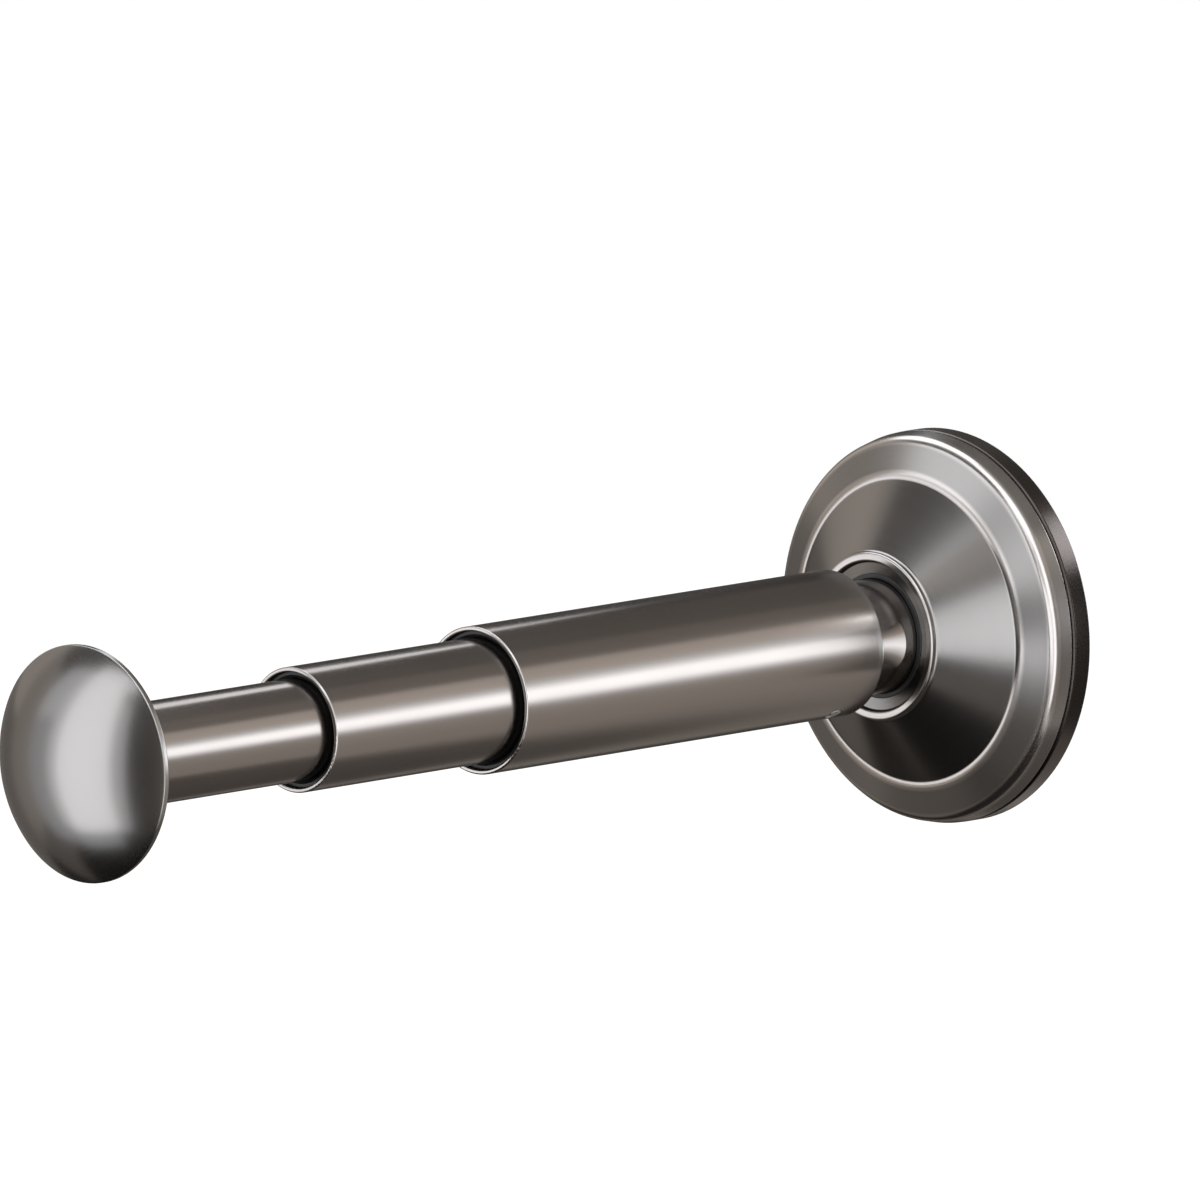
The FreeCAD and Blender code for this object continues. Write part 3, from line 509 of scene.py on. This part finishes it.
def bar_mesh(rings, sides=6, steps=6):
    """A fastener along -Y: rings are (shape, radius, station), from the socket's floor outwards.

    A "hex" ring follows a hexagon whose corners have the radius, and a "round" one a circle.
    """
    count = sides * steps
    half_side = math.pi / sides
    points, faces = [], []
    for shape, radius, station in rings:
        for step in range(count):
            angle = math.tau * step / count
            reach = radius
            if shape == "hex":
                off_middle = angle % (2 * half_side) - half_side
                reach = radius * math.cos(half_side) / math.cos(off_middle)
            points.append((reach * math.cos(angle), -station, reach * math.sin(angle)))
    for first in range(0, len(points) - count, count):
        for step in range(count):
            following = (step + 1) % count
            faces.append((first + step, first + following,
                          first + count + following, first + count + step))
    faces.append(tuple(range(count)))
    faces.append(tuple(reversed(range(len(points) - count, len(points)))))
    mesh = bpy.data.meshes.new("fastener")
    mesh.from_pydata(points, [], faces)
    return mesh


def threaded(start, limit, end):
    """Rings of a thread's crests and roots from a start to a limit, and of its tip to the end."""
    rings = []
    turns = int((limit - start) / PITCH)
    for turn in range(turns):
        station = start + turn * PITCH
        rings += [("round", THREAD, station), ("round", THREAD, station + 0.2 * PITCH),
                  ("round", THREAD - 0.3 * PITCH, station + 0.6 * PITCH)]
    return rings + [("round", THREAD, start + turns * PITCH),
                    ("round", 0.75 * THREAD, end), ("round", 0.1 * THREAD, end)]


def set_round(node, body, rings, count, bearing, spread, radius, station, inwards):
    """Copies of one fastener round the rod, in its node's place."""
    piece = grow(node + "_set", bar_mesh(rings), shape_tree("Set round the rod", ring_tree), {
        "Count": count, "First Bearing": math.radians(bearing), "Spread": math.radians(spread),
        "Radius": radius, "Station": station, "Inwards": inwards,
        "Finish": finish_of("zinc_screw")})
    fit_on(piece, body, node)


# ------------------------------------ operators

class ROD_OT_finishes(bpy.types.Operator):
    """Make the finishes and put them on the solids that stay"""
    bl_idname = "valet_rod.finishes"
    bl_label = "Finishes"

    def execute(self, context):
        tones = context.scene.rod_finishes
        for name, recipe in zip(FINISHES.values(), (
                (black_nickel, tones.tube, TUBE_ROUGHNESS, True),
                (black_nickel, tones.spun, SPUN_ROUGHNESS, False),
                (cast_plating, tones.casting),
                (turned_steel, tones.turned, 0.35 * MM),
                (turned_steel, tones.zinc, 0.3 * MM),
                (moulded_black, tones.nylon, 0.42, 0.3 * MM, 0.02 * MM),
                (moulded_black, tones.rubber, 0.62, 0.4 * MM, 0.05 * MM),
                (skived_foam, tones.foam))):
            make_finish(name, *recipe)
        mouths = {}
        # Each tube's finish gets a painted highlight line round its mouth.
        for stage in ("outer", "middle", "inner"):
            radius, _, front = extent(stage + "_tube")
            edge = (radius - 0.5 * MM, front, 0.8 * MM)
            mouths[stage + "_tube"] = make_finish(
                FINISHES["satin_gunmetal"] + "_rubbed_at_" + stage + "_mouth", black_nickel,
                tones.tube, TUBE_ROUGHNESS, True, tones.edge_highlight, (edge,))
        for node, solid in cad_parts.items():
            for place, old in enumerate(solid.data.materials):
                finish = mouths.get(node) or finish_of(old.name.split(".")[0])
                solid.material_slots[place].link = "OBJECT"
                solid.material_slots[place].material = finish
        return {"FINISHED"}


class ROD_OT_cover(bpy.types.Operator):
    """Spin the flange cover and mould the grommet in its collar"""
    bl_idname = "valet_rod.cover"
    bl_label = "Flange cover"

    def execute(self, context):
        size, tones = context.scene.rod_sizes, context.scene.rod_finishes
        neck = extent("neck_tube")[0]
        rim, rear, crest = extent("flange_cover")
        sheet, collar = size.sheet, size.collar_radius
        face_end, side_top = rim - size.face_width, rear + size.side
        face_top = side_top + size.face_rise
        floor, lip = crest - size.recess, collar - size.crest
        hole, hole_floor = neck + 0.8 * MM, floor - 0.5 * MM
        turn = 0.29 * size.crest
        # Painted highlight lines on the shoulder, the land and the collar's crest.
        painted_highlight = (
            (rim - size.draft - 0.6 * MM, side_top - 0.6 * MM, 1.7 * MM),
            (face_end + size.land, face_top, 1.4 * MM),
            (collar - 0.5 * size.crest, crest, 1.3 * MM))
        finish = make_finish(FINISHES["spun_gunmetal"] + "_rubbed_at_edges", black_nickel,
                             tones.spun, SPUN_ROUGHNESS, False, tones.edge_highlight, painted_highlight)
        turn_part("cover_spun", "flange_cover", "cover", "spun_gunmetal", [
            (rim - sheet, rear, 0.25 * sheet), (rim, rear, 0.25 * sheet),
            (rim - size.draft, side_top, size.shoulder),
            (face_end + size.land, face_top, size.bend), (face_end, face_top, size.foot),
            (collar, face_top + size.cone_rise, size.collar_foot), (collar, crest, turn),
            (lip, crest, turn), (lip - 0.15 * size.crest, floor, 0.3 * MM),
            (hole, hole_floor, 0.25 * sheet), (hole, hole_floor - sheet, 0.0),
            (collar - 0.4 * MM, floor - sheet, 1.0 * MM),
            (face_end - 0.5 * sheet, face_top - sheet, 1.5 * MM),
            (rim - sheet, side_top - sheet, 0.8 * MM),
        ], finish)
        outer, back, front = extent("cover_grommet")
        inner, waist, lip, flange = neck + SLIDE_GAP, hole - 0.02 * MM, hole + 0.4 * MM, 0.5 * MM
        turn_part("grommet_moulded", "cover_grommet", "cover", "black_nylon", [
            (inner, back, 0.15 * MM), (outer, back, 0.2 * MM), (outer, back + flange, 0.05 * MM),
            (waist, back + flange, 0.05 * MM), (waist, front - flange, 0.05 * MM),
            (lip, front - flange, 0.05 * MM), (lip, front, 0.25 * MM), (inner, front, 0.2 * MM),
        ])
        return {"FINISHED"}


class ROD_OT_knob(bpy.types.Operator):
    """Spin the domed knob and turn its back plate"""
    bl_idname = "valet_rod.knob"
    bl_label = "Knob"

    def execute(self, context):
        size = context.scene.rod_sizes
        rim, rear, top = extent("knob_dome")
        shoulder, seat = rear + size.knob_rim, rear + 1.62 * MM
        cavity = rim - size.knob_wall
        turn_part("knob_spun", "knob_dome", "inner_stage", "spun_gunmetal", [
            (cavity, rear, 0.2 * MM), (rim, rear, size.knob_edge), (rim, shoulder, size.knob_edge),
            *dome(rim, shoulder, top), *reversed(dome(cavity, seat, top - size.knob_wall)),
            (cavity, seat, 0.0)])
        edge, _, front = extent("knob_back")
        stud = extent("knob_stud")[0] + 0.02 * MM
        boss, hub = extent("inner_tube")[0] - 0.5 * MM, 7 * MM
        web, back = rear + 0.4 * MM, rear + 1.6 * MM
        turn_part("knob_back_turned", "knob_back", "inner_stage", "spun_gunmetal", [
            (stud, rear, 0.0), (boss, rear, 0.1 * MM), (boss, web, 0.2 * MM),
            (edge, web, 0.15 * MM), (edge, back, 0.1 * MM), (hub, back, 0.8 * MM),
            (hub, front, 0.4 * MM), (stud, front, 0.2 * MM),
        ])
        return {"FINISHED"}


def dome(rim, base, top, steps=40):
    """Points of a round dome, in equal steps from near its rim to the axis."""
    height = top - base
    reach = (rim * rim + height * height) / (2 * height)
    sweep = math.asin(rim / reach)
    arc = [sweep * (1 - step / steps) for step in range(1, steps + 1)]
    return [(reach * math.sin(turn), top - reach * (1 - math.cos(turn)), 0.0) for turn in arc]


class ROD_OT_bushes(bpy.types.Operator):
    """Mould the bushes in the tubes' mouths and skive the gasket"""
    bl_idname = "valet_rod.bushes"
    bl_label = "Bushes and gasket"

    def execute(self, context):
        for node, stage, body in (("outer_mouth_bush", "middle_tube", "wall_fixing"),
                                  ("middle_mouth_bush", "inner_tube", "middle_stage")):
            outer, back, front = extent(node)
            inner = extent(stage)[0] + SLIDE_GAP
            wall = outer - inner
            turn_part(node + "_moulded", node, body, "black_nylon", [
                (inner, back, 0.2 * wall), (outer, back, 0.3 * wall), (outer, front, 0.1 * wall),
                (inner + 0.45 * wall, front, 0.2 * wall),
                (inner, front - 0.5 * MM, 0.15 * wall),
            ])
        outer, _, front = extent("wall_gasket")
        inner, wall_turn, plate_turn = outer - 5.96 * MM, 0.1 * MM, 0.3 * MM
        turn_part("gasket_skived", "wall_gasket", "wall_fixing", "grey_foam", [
            (inner, 0.0, wall_turn), (outer, 0.0, wall_turn), (outer, front, plate_turn),
            (inner, front, plate_turn),
        ])
        return {"FINISHED"}


class ROD_OT_fasteners(bpy.types.Operator):
    """Set the screws and pins round the rod"""
    bl_idname = "valet_rod.fasteners"
    bl_label = "Screws and pins"

    def execute(self, context):
        circle, sunk = 17.25 * MM, 0.2 * MM
        bolt = SOCKET + COUNTERSUNK + threaded(2.2 * MM, 8.0 * MM, 8.4 * MM)
        set_round("socket_screws", "wall_fixing", bolt, 3, -135, 120, circle, sunk, False)
        # Radius of the outer and the inner end and the station in millimetres, angles in degrees.
        for node, outside, inside, first, spread, station in (
                ("set_screws", 17.0, 12.52, -135, 90, 14.8),
                ("reducer_screws", 16.0, 11.0, -120, 60, 44.0)):
            end = (outside - inside) * MM
            grub = SOCKET + GRUB_END + threaded(0.25 * MM, end - 0.3 * MM, end)
            set_round(node, "wall_fixing", grub, 2, first, spread,
                      outside * MM, station * MM, True)
        for node, outside, inside, body, count, station in (
                ("middle_guide_pins", 14.9, 12.5, "middle_stage", 2, 111.0),
                ("inner_guide_pins", 12.4, 10.0, "inner_stage", 2, 169.5),
                ("plug_pin", 10.98, 3.02, "inner_stage", 1, 251.5)):
            end = (outside - inside) * MM
            dowel = [("round", radius * MM, depth) for radius, depth in (
                (0.05, 0.0), (0.8, 0.0), (0.95, 0.06 * MM), (1.0, 0.2 * MM),
                (1.0, end - 0.2 * MM), (0.9, end), (0.05, end))]
            set_round(node, body, dowel, count, -90, 180, outside * MM, station * MM, True)
        return {"FINISHED"}


class ROD_OT_stage(bpy.types.Operator):
    """Lay the floor, hang the lamps and the tent, and set up the camera"""
    bl_idname = "valet_rod.stage"
    bl_label = "Studio"

    def execute(self, context):
        scene, studio = context.scene, context.scene.rod_studio
        lay_floor(scene, studio)
        light_world(scene, studio)
        for lamp in LAMPS:
            hang_lamp(scene, studio, *lamp)
        if studio.tent:
            for axis, place, panels in WALLS:
                for name, across, up, level in panels:
                    hang(scene, flat_panel(name, axis, place, across, up), even_glow, level,
                         "card" in name)
            for name, first, last, levels in SWEEPS:
                hang(scene, curved_panel(name, first, last), glow_by_height, levels)
            *panel, levels = NECK_CARD
            hang(scene, flat_panel(*panel), glow_in_front, levels)
        set_camera(scene, studio)
        scene.view_settings.view_transform = "Standard"
        return {"FINISHED"}


# ------------------------------------ studio

MID_ROD = Vector((0, -0.135, 0))
PICTURE = (1200, 1198)      # the render's width and height in pixels
MID_ROD_SHOWS = (505.4, 695.8)  # the pixel at which it has the rod's middle
PIXELS_PER_METRE = 4669.0   # at the rod
FLOOR_GLOW = 0.76           # lifts the floor to white where the camera or metal sees it
LIT = 1.5                   # panels brighter than this are lit by lamps and have their colour
# Lamps light what is matt: name, centre, width, height, and brightness.
LAMPS = (
    ("key_softbox", (-0.45, -0.74, 0.45), 0.6, 0.6, 2.5),
    ("fill_softbox", (0.55, -0.60, 0.10), 0.4, 0.6, 1.5),
    ("overhead_softbox", (-0.10, -0.14, 0.60), 0.8, 0.5, 2.0),
)
# Flat panels of the tent that the metal reflects, wall by wall. A wall is an axis and its place
# there. A panel is its name, its ends along each of the other axes, and its brightness.
WALLS = (
    ("Y", -0.33, (
        ("knob_card", (-0.037, 0.027), (-0.083, 0.155), 3.3),
        ("knob_card_mid_left", (-0.054, -0.037), (-0.083, 0.13), 1.8),
        ("knob_card_right", (0.027, 0.044), (-0.09, 0.08), 1.5),
        ("knob_shade", (0.044, 0.12), (-0.12, 0.16), 0.12),
        ("knob_card_low", (-0.05, 0.025), (-0.125, -0.083), 1.0),
        ("knob_card_left", (-0.12, -0.054), (-0.12, 0.04), 0.95),
        ("knob_card_high", (-0.12, -0.054), (0.04, 0.14), 1.5),
    )),
    ("Y", -0.24, (
        ("cone_card", (0.085, 0.165), (-0.07, 0.09), 3.3),
        ("glow_card", (0.165, 0.27), (-0.12, 0.08), 3.0),
    )),
    ("Y", -0.74, (("ring_card", (-0.85, -0.58), (-0.28, -0.07), 3.0),)),
    ("X", -0.25, (("edge_card", (0.02, 0.19), (0.2, 0.42), 4.0),)),
    ("Y", 0.03, (
        ("plate_card", (0.042, 0.068), (0.032, 0.058), 9.0),
        ("plate_shade", (0.048, 0.09), (-0.05, 0.036), 0.2),
    )),
    ("Y", -0.75, (
        ("left_front", (-0.85, -0.5), (-0.2, 0.2), 2.0),
        ("mid_left_front", (-0.5, -0.25), (-0.2, 0.2), 0.9),
        ("high_left_front", (-0.85, -0.25), (0.2, 0.6), 2.9),
        ("low_left_front", (-0.85, -0.5), (-0.6, -0.2), 0.9),
        ("low_front", (-0.5, 0.1), (-0.6, -0.2), 0.25),
        ("front", (-0.25, 0.12), (-0.2, 0.2), 1.2),
        ("high_front", (-0.25, 0.0), (0.2, 0.6), 2.2),
        ("high_right_front", (0.0, 0.25), (0.2, 0.6), 0.8),
        ("shoulder_front", (0.25, 0.5), (0.38, 0.6), 2.5),
        ("mid_shoulder_front", (0.25, 0.5), (0.2, 0.38), 0.7),
        ("mid_right_front", (0.12, 0.25), (-0.6, 0.2), 0.5),
        ("right_front", (0.25, 0.5), (-0.6, 0.2), 0.05),
    )),
    ("X", 0.5, (
        ("right", (-0.75, -0.36), (-0.6, 0.1), 1.2),
        ("shoulder_right", (-0.36, -0.1), (-0.4, 0.1), 3.4),
        ("shoulder_high_right", (-0.45, -0.1), (0.1, 0.62), 3.4),
    )),
    ("Z", 0.62, (
        ("shoulder_top", (-0.1, 0.5), (-0.3, 0.0), 4.0),
        ("shoulder_mid_top", (0.1, 0.5), (-0.4, -0.3), 4.0),
        ("mid_top_front", (-0.85, 0.1), (-0.4, -0.3), 0.2),
        ("shoulder_left_top", (-0.85, -0.1), (-0.15, 0.2), 4.5),
    )),
    ("X", -0.85, (
        ("left_front_side", (-0.75, -0.3), (-0.6, 0.6), 0.7),
        ("left_side", (-0.3, 0.1), (0.05, 0.6), 1.1),
        ("low_left_side", (-0.3, 0.1), (-0.6, 0.05), 0.45),
        ("low_left_rear", (0.1, 0.5), (-0.6, 0.05), 0.4),
        ("left_rear", (0.1, 0.5), (0.05, 0.6), 0.6),
    )),
    ("Z", 0.62, (
        ("top_front", (-0.85, 0.1), (-0.75, -0.4), 0.15),
        ("shoulder_top_front", (0.1, 0.5), (-0.75, -0.4), 3.0),
        ("top", (-0.85, 0.5), (0.2, 0.3), 0.5),
        ("top_rear", (-0.85, 0.12), (0.3, 0.9), 0.3),
        ("top_right_rear", (0.12, 0.5), (0.3, 0.9), 0.45),
    )),
    ("Z", -0.6, (
        ("below_left_front", (-0.85, -0.4), (-0.75, -0.2), 0.3),
        ("below_front", (-0.4, 0.5), (-0.75, -0.2), 0.02),
        ("below", (-0.85, 0.5), (-0.2, 0.1), 0.03),
        ("mid_below", (-0.85, 0.5), (0.1, 0.3), 0.3),
        ("below_rear", (-0.85, 0.5), (0.3, 0.48), 0.24),
        ("below_far_rear", (-0.85, 0.5), (0.48, 0.9), 0.75),
    )),
)
# Curved panels behind the rod: name, first and last azimuth, and brightness by height.
SWEEPS = (
    ("right_sweep", 60, 122, ((-1.10, 0.3), (-0.30, 0.4), (0.30, 0.5), (1.10, 0.8))),
    ("rear_sweep", 122, 180, (
        (-0.90, 0.8), (-0.50, 0.8), (-0.15, 0.95), (-0.09, 1.6), (-0.03, 3.8), (0.03, 5.6),
        (0.18, 5.6), (0.24, 3.6), (0.32, 2.0), (0.42, 1.4), (1.10, 1.2))),
    ("left_rear_sweep", 180, 212, ((-0.90, 0.3), (0.30, 0.4), (1.10, 0.3))),
    ("far_left_sweep", 212, 245, ((-0.90, 0.1), (0.30, 0.15), (1.10, 0.3))),
)
SWEEP_REACH, SWEEP_STEPS = 1.3, 24      # how far they go up and down, and their facets
# A small card by the collar, which the neck reflects: as a panel, with brightness by height.
NECK_CARD = ("neck_card", "Y", -0.0262, (0.0125, 0.0260), (-0.0070, 0.0060), (
    (-0.0070, 0.1), (-0.0040, 0.9), (-0.0020, 2.8), (-0.0005, 4.4), (0.0010, 3.6),
    (0.0030, 1.2), (0.0060, 0.1)))


def facing(direction):
    """Rotation of a lamp or a camera that faces a direction."""
    return Vector(direction).to_track_quat("-Z", "Y").to_matrix().to_4x4()


def towards(azimuth, elevation):
    """Unit vector at an azimuth from -Y and an elevation, both in degrees."""
    turn, rise = math.radians(azimuth), math.radians(elevation)
    return Vector((math.sin(turn) * math.cos(rise), -math.cos(turn) * math.cos(rise),
                   math.sin(rise)))


def hang_lamp(scene, studio, name, centre, width, height, level):
    """A rectangular softbox for what is matt. The metal has its panels."""
    data = bpy.data.lights.new(name, "AREA")
    data.shape = "RECTANGLE"
    data.size, data.size_y = width, height
    data.color = studio.lamp_colour
    data.energy = level * studio.lamps * math.pi * width * height
    lamp = bpy.data.objects.new(name, data)
    scene.collection.objects.link(lamp)
    lamp.matrix_world = Matrix.Translation(centre) @ facing(MID_ROD - Vector(centre))
    lamp.visible_camera = lamp.visible_glossy = False


def flat_panel(name, axis, place, across, up):
    """A rectangle square to an axis, from end to end along each of the other two."""
    points = []
    for side, height in ((0, 0), (1, 0), (1, 1), (0, 1)):
        point = [across[side], up[height]]
        point.insert("XYZ".index(axis), place)
        points.append(point)
    mesh = bpy.data.meshes.new(name)
    mesh.from_pydata(points, [], [(0, 1, 2, 3)])
    return mesh


def curved_panel(name, first, last):
    """A panel curved about the rod's middle, from one azimuth to another."""
    points = []
    for step in range(SWEEP_STEPS + 1):
        way = towards(first + (last - first) * step / SWEEP_STEPS, 0)
        points += [MID_ROD + way + Vector((0, 0, SWEEP_REACH * side)) for side in (-1, 1)]
    mesh = bpy.data.meshes.new(name)
    mesh.from_pydata(points, [], [(2 * step, 2 * step + 2, 2 * step + 3, 2 * step + 1)
                                  for step in range(SWEEP_STEPS)])
    return mesh


def panel_colour(level, is_card=False):
    """Lamps and white card are a little cool, and cloth is a little warm."""
    studio = bpy.context.scene.rod_studio
    return studio.lamp_colour if is_card or level > LIT else studio.cloth_colour


def even_glow(tree, level, is_card):
    """Light of the same brightness all over a panel."""
    return add_node(tree, "ShaderNodeEmission", {
        "Color": opaque(panel_colour(level, is_card)), "Strength": level})


def glow_by_height(tree, levels):
    """Light whose brightness goes by height: levels are (height, brightness), lowest first."""
    place = add_node(tree, "ShaderNodeTexCoord").outputs["Object"]
    height = add_node(tree, "ShaderNodeSeparateXYZ", {0: place}).outputs["Z"]
    low, high = levels[0][0], levels[-1][0]
    brightest = max(level for _, level in levels)
    along = add_node(tree, "ShaderNodeMapRange", {
        "Value": height, "From Min": low, "From Max": high})
    ramp = add_node(tree, "ShaderNodeValToRGB", {"Fac": along})
    stops = ramp.color_ramp.elements
    while len(stops) < len(levels):
        stops.new(1.0)
    for stop, (station, level) in zip(stops, levels):
        stop.position = (station - low) / (high - low)
        stop.color = opaque([part * level / brightest for part in panel_colour(level)])
    return add_node(tree, "ShaderNodeEmission", {"Color": ramp, "Strength": brightest})


def glow_in_front(tree, levels):
    """The same light on a panel's front only. Its back is clear."""
    behind = add_node(tree, "ShaderNodeNewGeometry").outputs["Backfacing"]
    clear = add_node(tree, "ShaderNodeBsdfTransparent")
    return add_node(tree, "ShaderNodeMixShader", {
        0: behind, 1: glow_by_height(tree, levels), 2: clear})


def put_up(scene, mesh, finish):
    """Put a part of the studio in the scene."""
    mesh.materials.append(finish)
    part = bpy.data.objects.new(mesh.name, mesh)
    scene.collection.objects.link(part)
    return part


def hang(scene, mesh, build, *values):
    """Hang a panel that glows as built, and that nothing but a reflection shows."""
    panel = put_up(scene, mesh, make_finish("lit_cloth_" + mesh.name, build, *values))
    for ray in ("camera", "diffuse", "shadow", "transmission", "volume_scatter"):
        setattr(panel, "visible_" + ray, False)


def floor_paint(tree, base):
    """Matt paint, put on with a roller, whose nap leaves it faintly uneven.

    What the camera and the metal see of it is lifted to white. A camera that is lower than
    the floor looks through it.
    """
    place = add_node(tree, "ShaderNodeTexCoord").outputs["Object"]
    nap = add_node(tree, "ShaderNodeTexNoise", {"Vector": place, "Scale": 350.0, "Detail": 2.0})
    relief = add_node(tree, "ShaderNodeBump", {"Strength": 0.05, "Distance": MM, "Height": nap})
    matt = add_node(tree, "ShaderNodeBsdfDiffuse", {"Color": opaque(base), "Normal": relief})
    lift = add_node(tree, "ShaderNodeEmission", {"Color": opaque(base), "Strength": FLOOR_GLOW})
    both = add_node(tree, "ShaderNodeAddShader", {0: matt, 1: lift})
    mixed = add_node(tree, "ShaderNodeMixShader", {0: seen_directly(tree), 1: matt, 2: both})
    below = add_node(tree, "ShaderNodeNewGeometry").outputs["Backfacing"]
    clear = add_node(tree, "ShaderNodeBsdfTransparent")
    return add_node(tree, "ShaderNodeMixShader", {0: below, 1: mixed, 2: clear})


def lay_floor(scene, studio):
    """A square pale floor, face up."""
    half = studio.floor_size / 2
    mesh = flat_panel("studio_floor", "Z", -studio.floor_drop, (-half, half), (-half, half))
    put_up(scene, mesh, make_finish("pale_floor_paint", floor_paint, studio.floor))


def seen_directly(tree):
    """1 where the camera, a reflection or a transparent part looks, and 0 for other light."""
    path = add_node(tree, "ShaderNodeLightPath").outputs
    seen = add_node(tree, "ShaderNodeMath", {0: path["Is Camera Ray"], 1: path["Is Glossy Ray"]},
                    operation="MAXIMUM")
    return add_node(tree, "ShaderNodeMath", {0: seen, 1: path["Is Transmission Ray"]},
                    operation="MAXIMUM")


def light_world(scene, studio):
    """A white background, and an even soft light of its own strength from all sides."""
    world = bpy.data.worlds.new("white_studio")
    world.use_nodes = True
    tree = world.node_tree
    tree.nodes.clear()
    level = add_node(tree, "ShaderNodeMapRange", {
        "Value": seen_directly(tree), "To Min": studio.ambient, "To Max": 1.0})
    air = add_node(tree, "ShaderNodeBackground", {"Color": (1, 1, 1, 1), "Strength": level})
    add_node(tree, "ShaderNodeOutputWorld", {"Surface": air})
    scene.world = world


def set_camera(scene, studio):
    """A long lens on the rod's front right, a little above it."""
    data = bpy.data.cameras.new("long_lens")
    data.lens, data.sensor_width = studio.lens, 36.0
    data.sensor_fit = "HORIZONTAL"
    turn = studio.azimuth
    back = towards(math.degrees(turn), math.degrees(studio.elevation))
    right = Vector((math.cos(turn), math.sin(turn), 0))
    up = back.cross(right)
    aim = (MID_ROD + right * ((PICTURE[0] / 2 - MID_ROD_SHOWS[0]) / PIXELS_PER_METRE)
           + up * ((MID_ROD_SHOWS[1] - PICTURE[1] / 2) / PIXELS_PER_METRE))
    distance = PICTURE[0] / PIXELS_PER_METRE * data.lens / data.sensor_width
    camera = bpy.data.objects.new("camera", data)
    scene.collection.objects.link(camera)
    camera.matrix_world = Matrix.Translation(aim + back * distance) @ facing(-back)
    scene.camera = camera


# ------------------------------------ add-on

class ROD_PT_panel(bpy.types.Panel):
    """Sizes, colours and pieces of the valet rod"""
    bl_label = "Valet Rod"
    bl_idname = "ROD_PT_panel"
    bl_space_type = "VIEW_3D"
    bl_region_type = "UI"
    bl_category = "Valet Rod"

    def draw(self, context):
        layout = self.layout
        for group in SETTINGS:
            box = layout.box()
            settings = getattr(context.scene, group)
            for name in settings.bl_rna.properties.keys():
                if name not in ("name", "rna_type"):
                    box.prop(settings, name)
        for operator in OPERATORS:
            layout.operator(operator.bl_idname)


SETTINGS = {"rod_sizes": CoverSizes, "rod_finishes": RodFinishes, "rod_studio": StudioSettings}
OPERATORS = (ROD_OT_finishes, ROD_OT_cover, ROD_OT_knob, ROD_OT_bushes, ROD_OT_fasteners,
             ROD_OT_stage)


def register():
    """Make the settings, operators and panel known to Blender."""
    for kind in (*SETTINGS.values(), *OPERATORS, ROD_PT_panel):
        bpy.utils.register_class(kind)
    for name, kind in SETTINGS.items():
        setattr(bpy.types.Scene, name, PointerProperty(type=kind))


def unregister():
    """Take them away again."""
    for name in SETTINGS:
        delattr(bpy.types.Scene, name)
    for kind in (ROD_PT_panel, *reversed(OPERATORS), *reversed(SETTINGS.values())):
        bpy.utils.unregister_class(kind)


def corners(box):
    """A box as plain lists of numbers."""
    return [list(corner) for corner in box]


def main():
    """Make every piece in order."""
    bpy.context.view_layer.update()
    register()
    for operator in OPERATORS:
        group, name = operator.bl_idname.split(".")
        getattr(getattr(bpy.ops, group), name)()


if __name__ == "__main__":
    main()
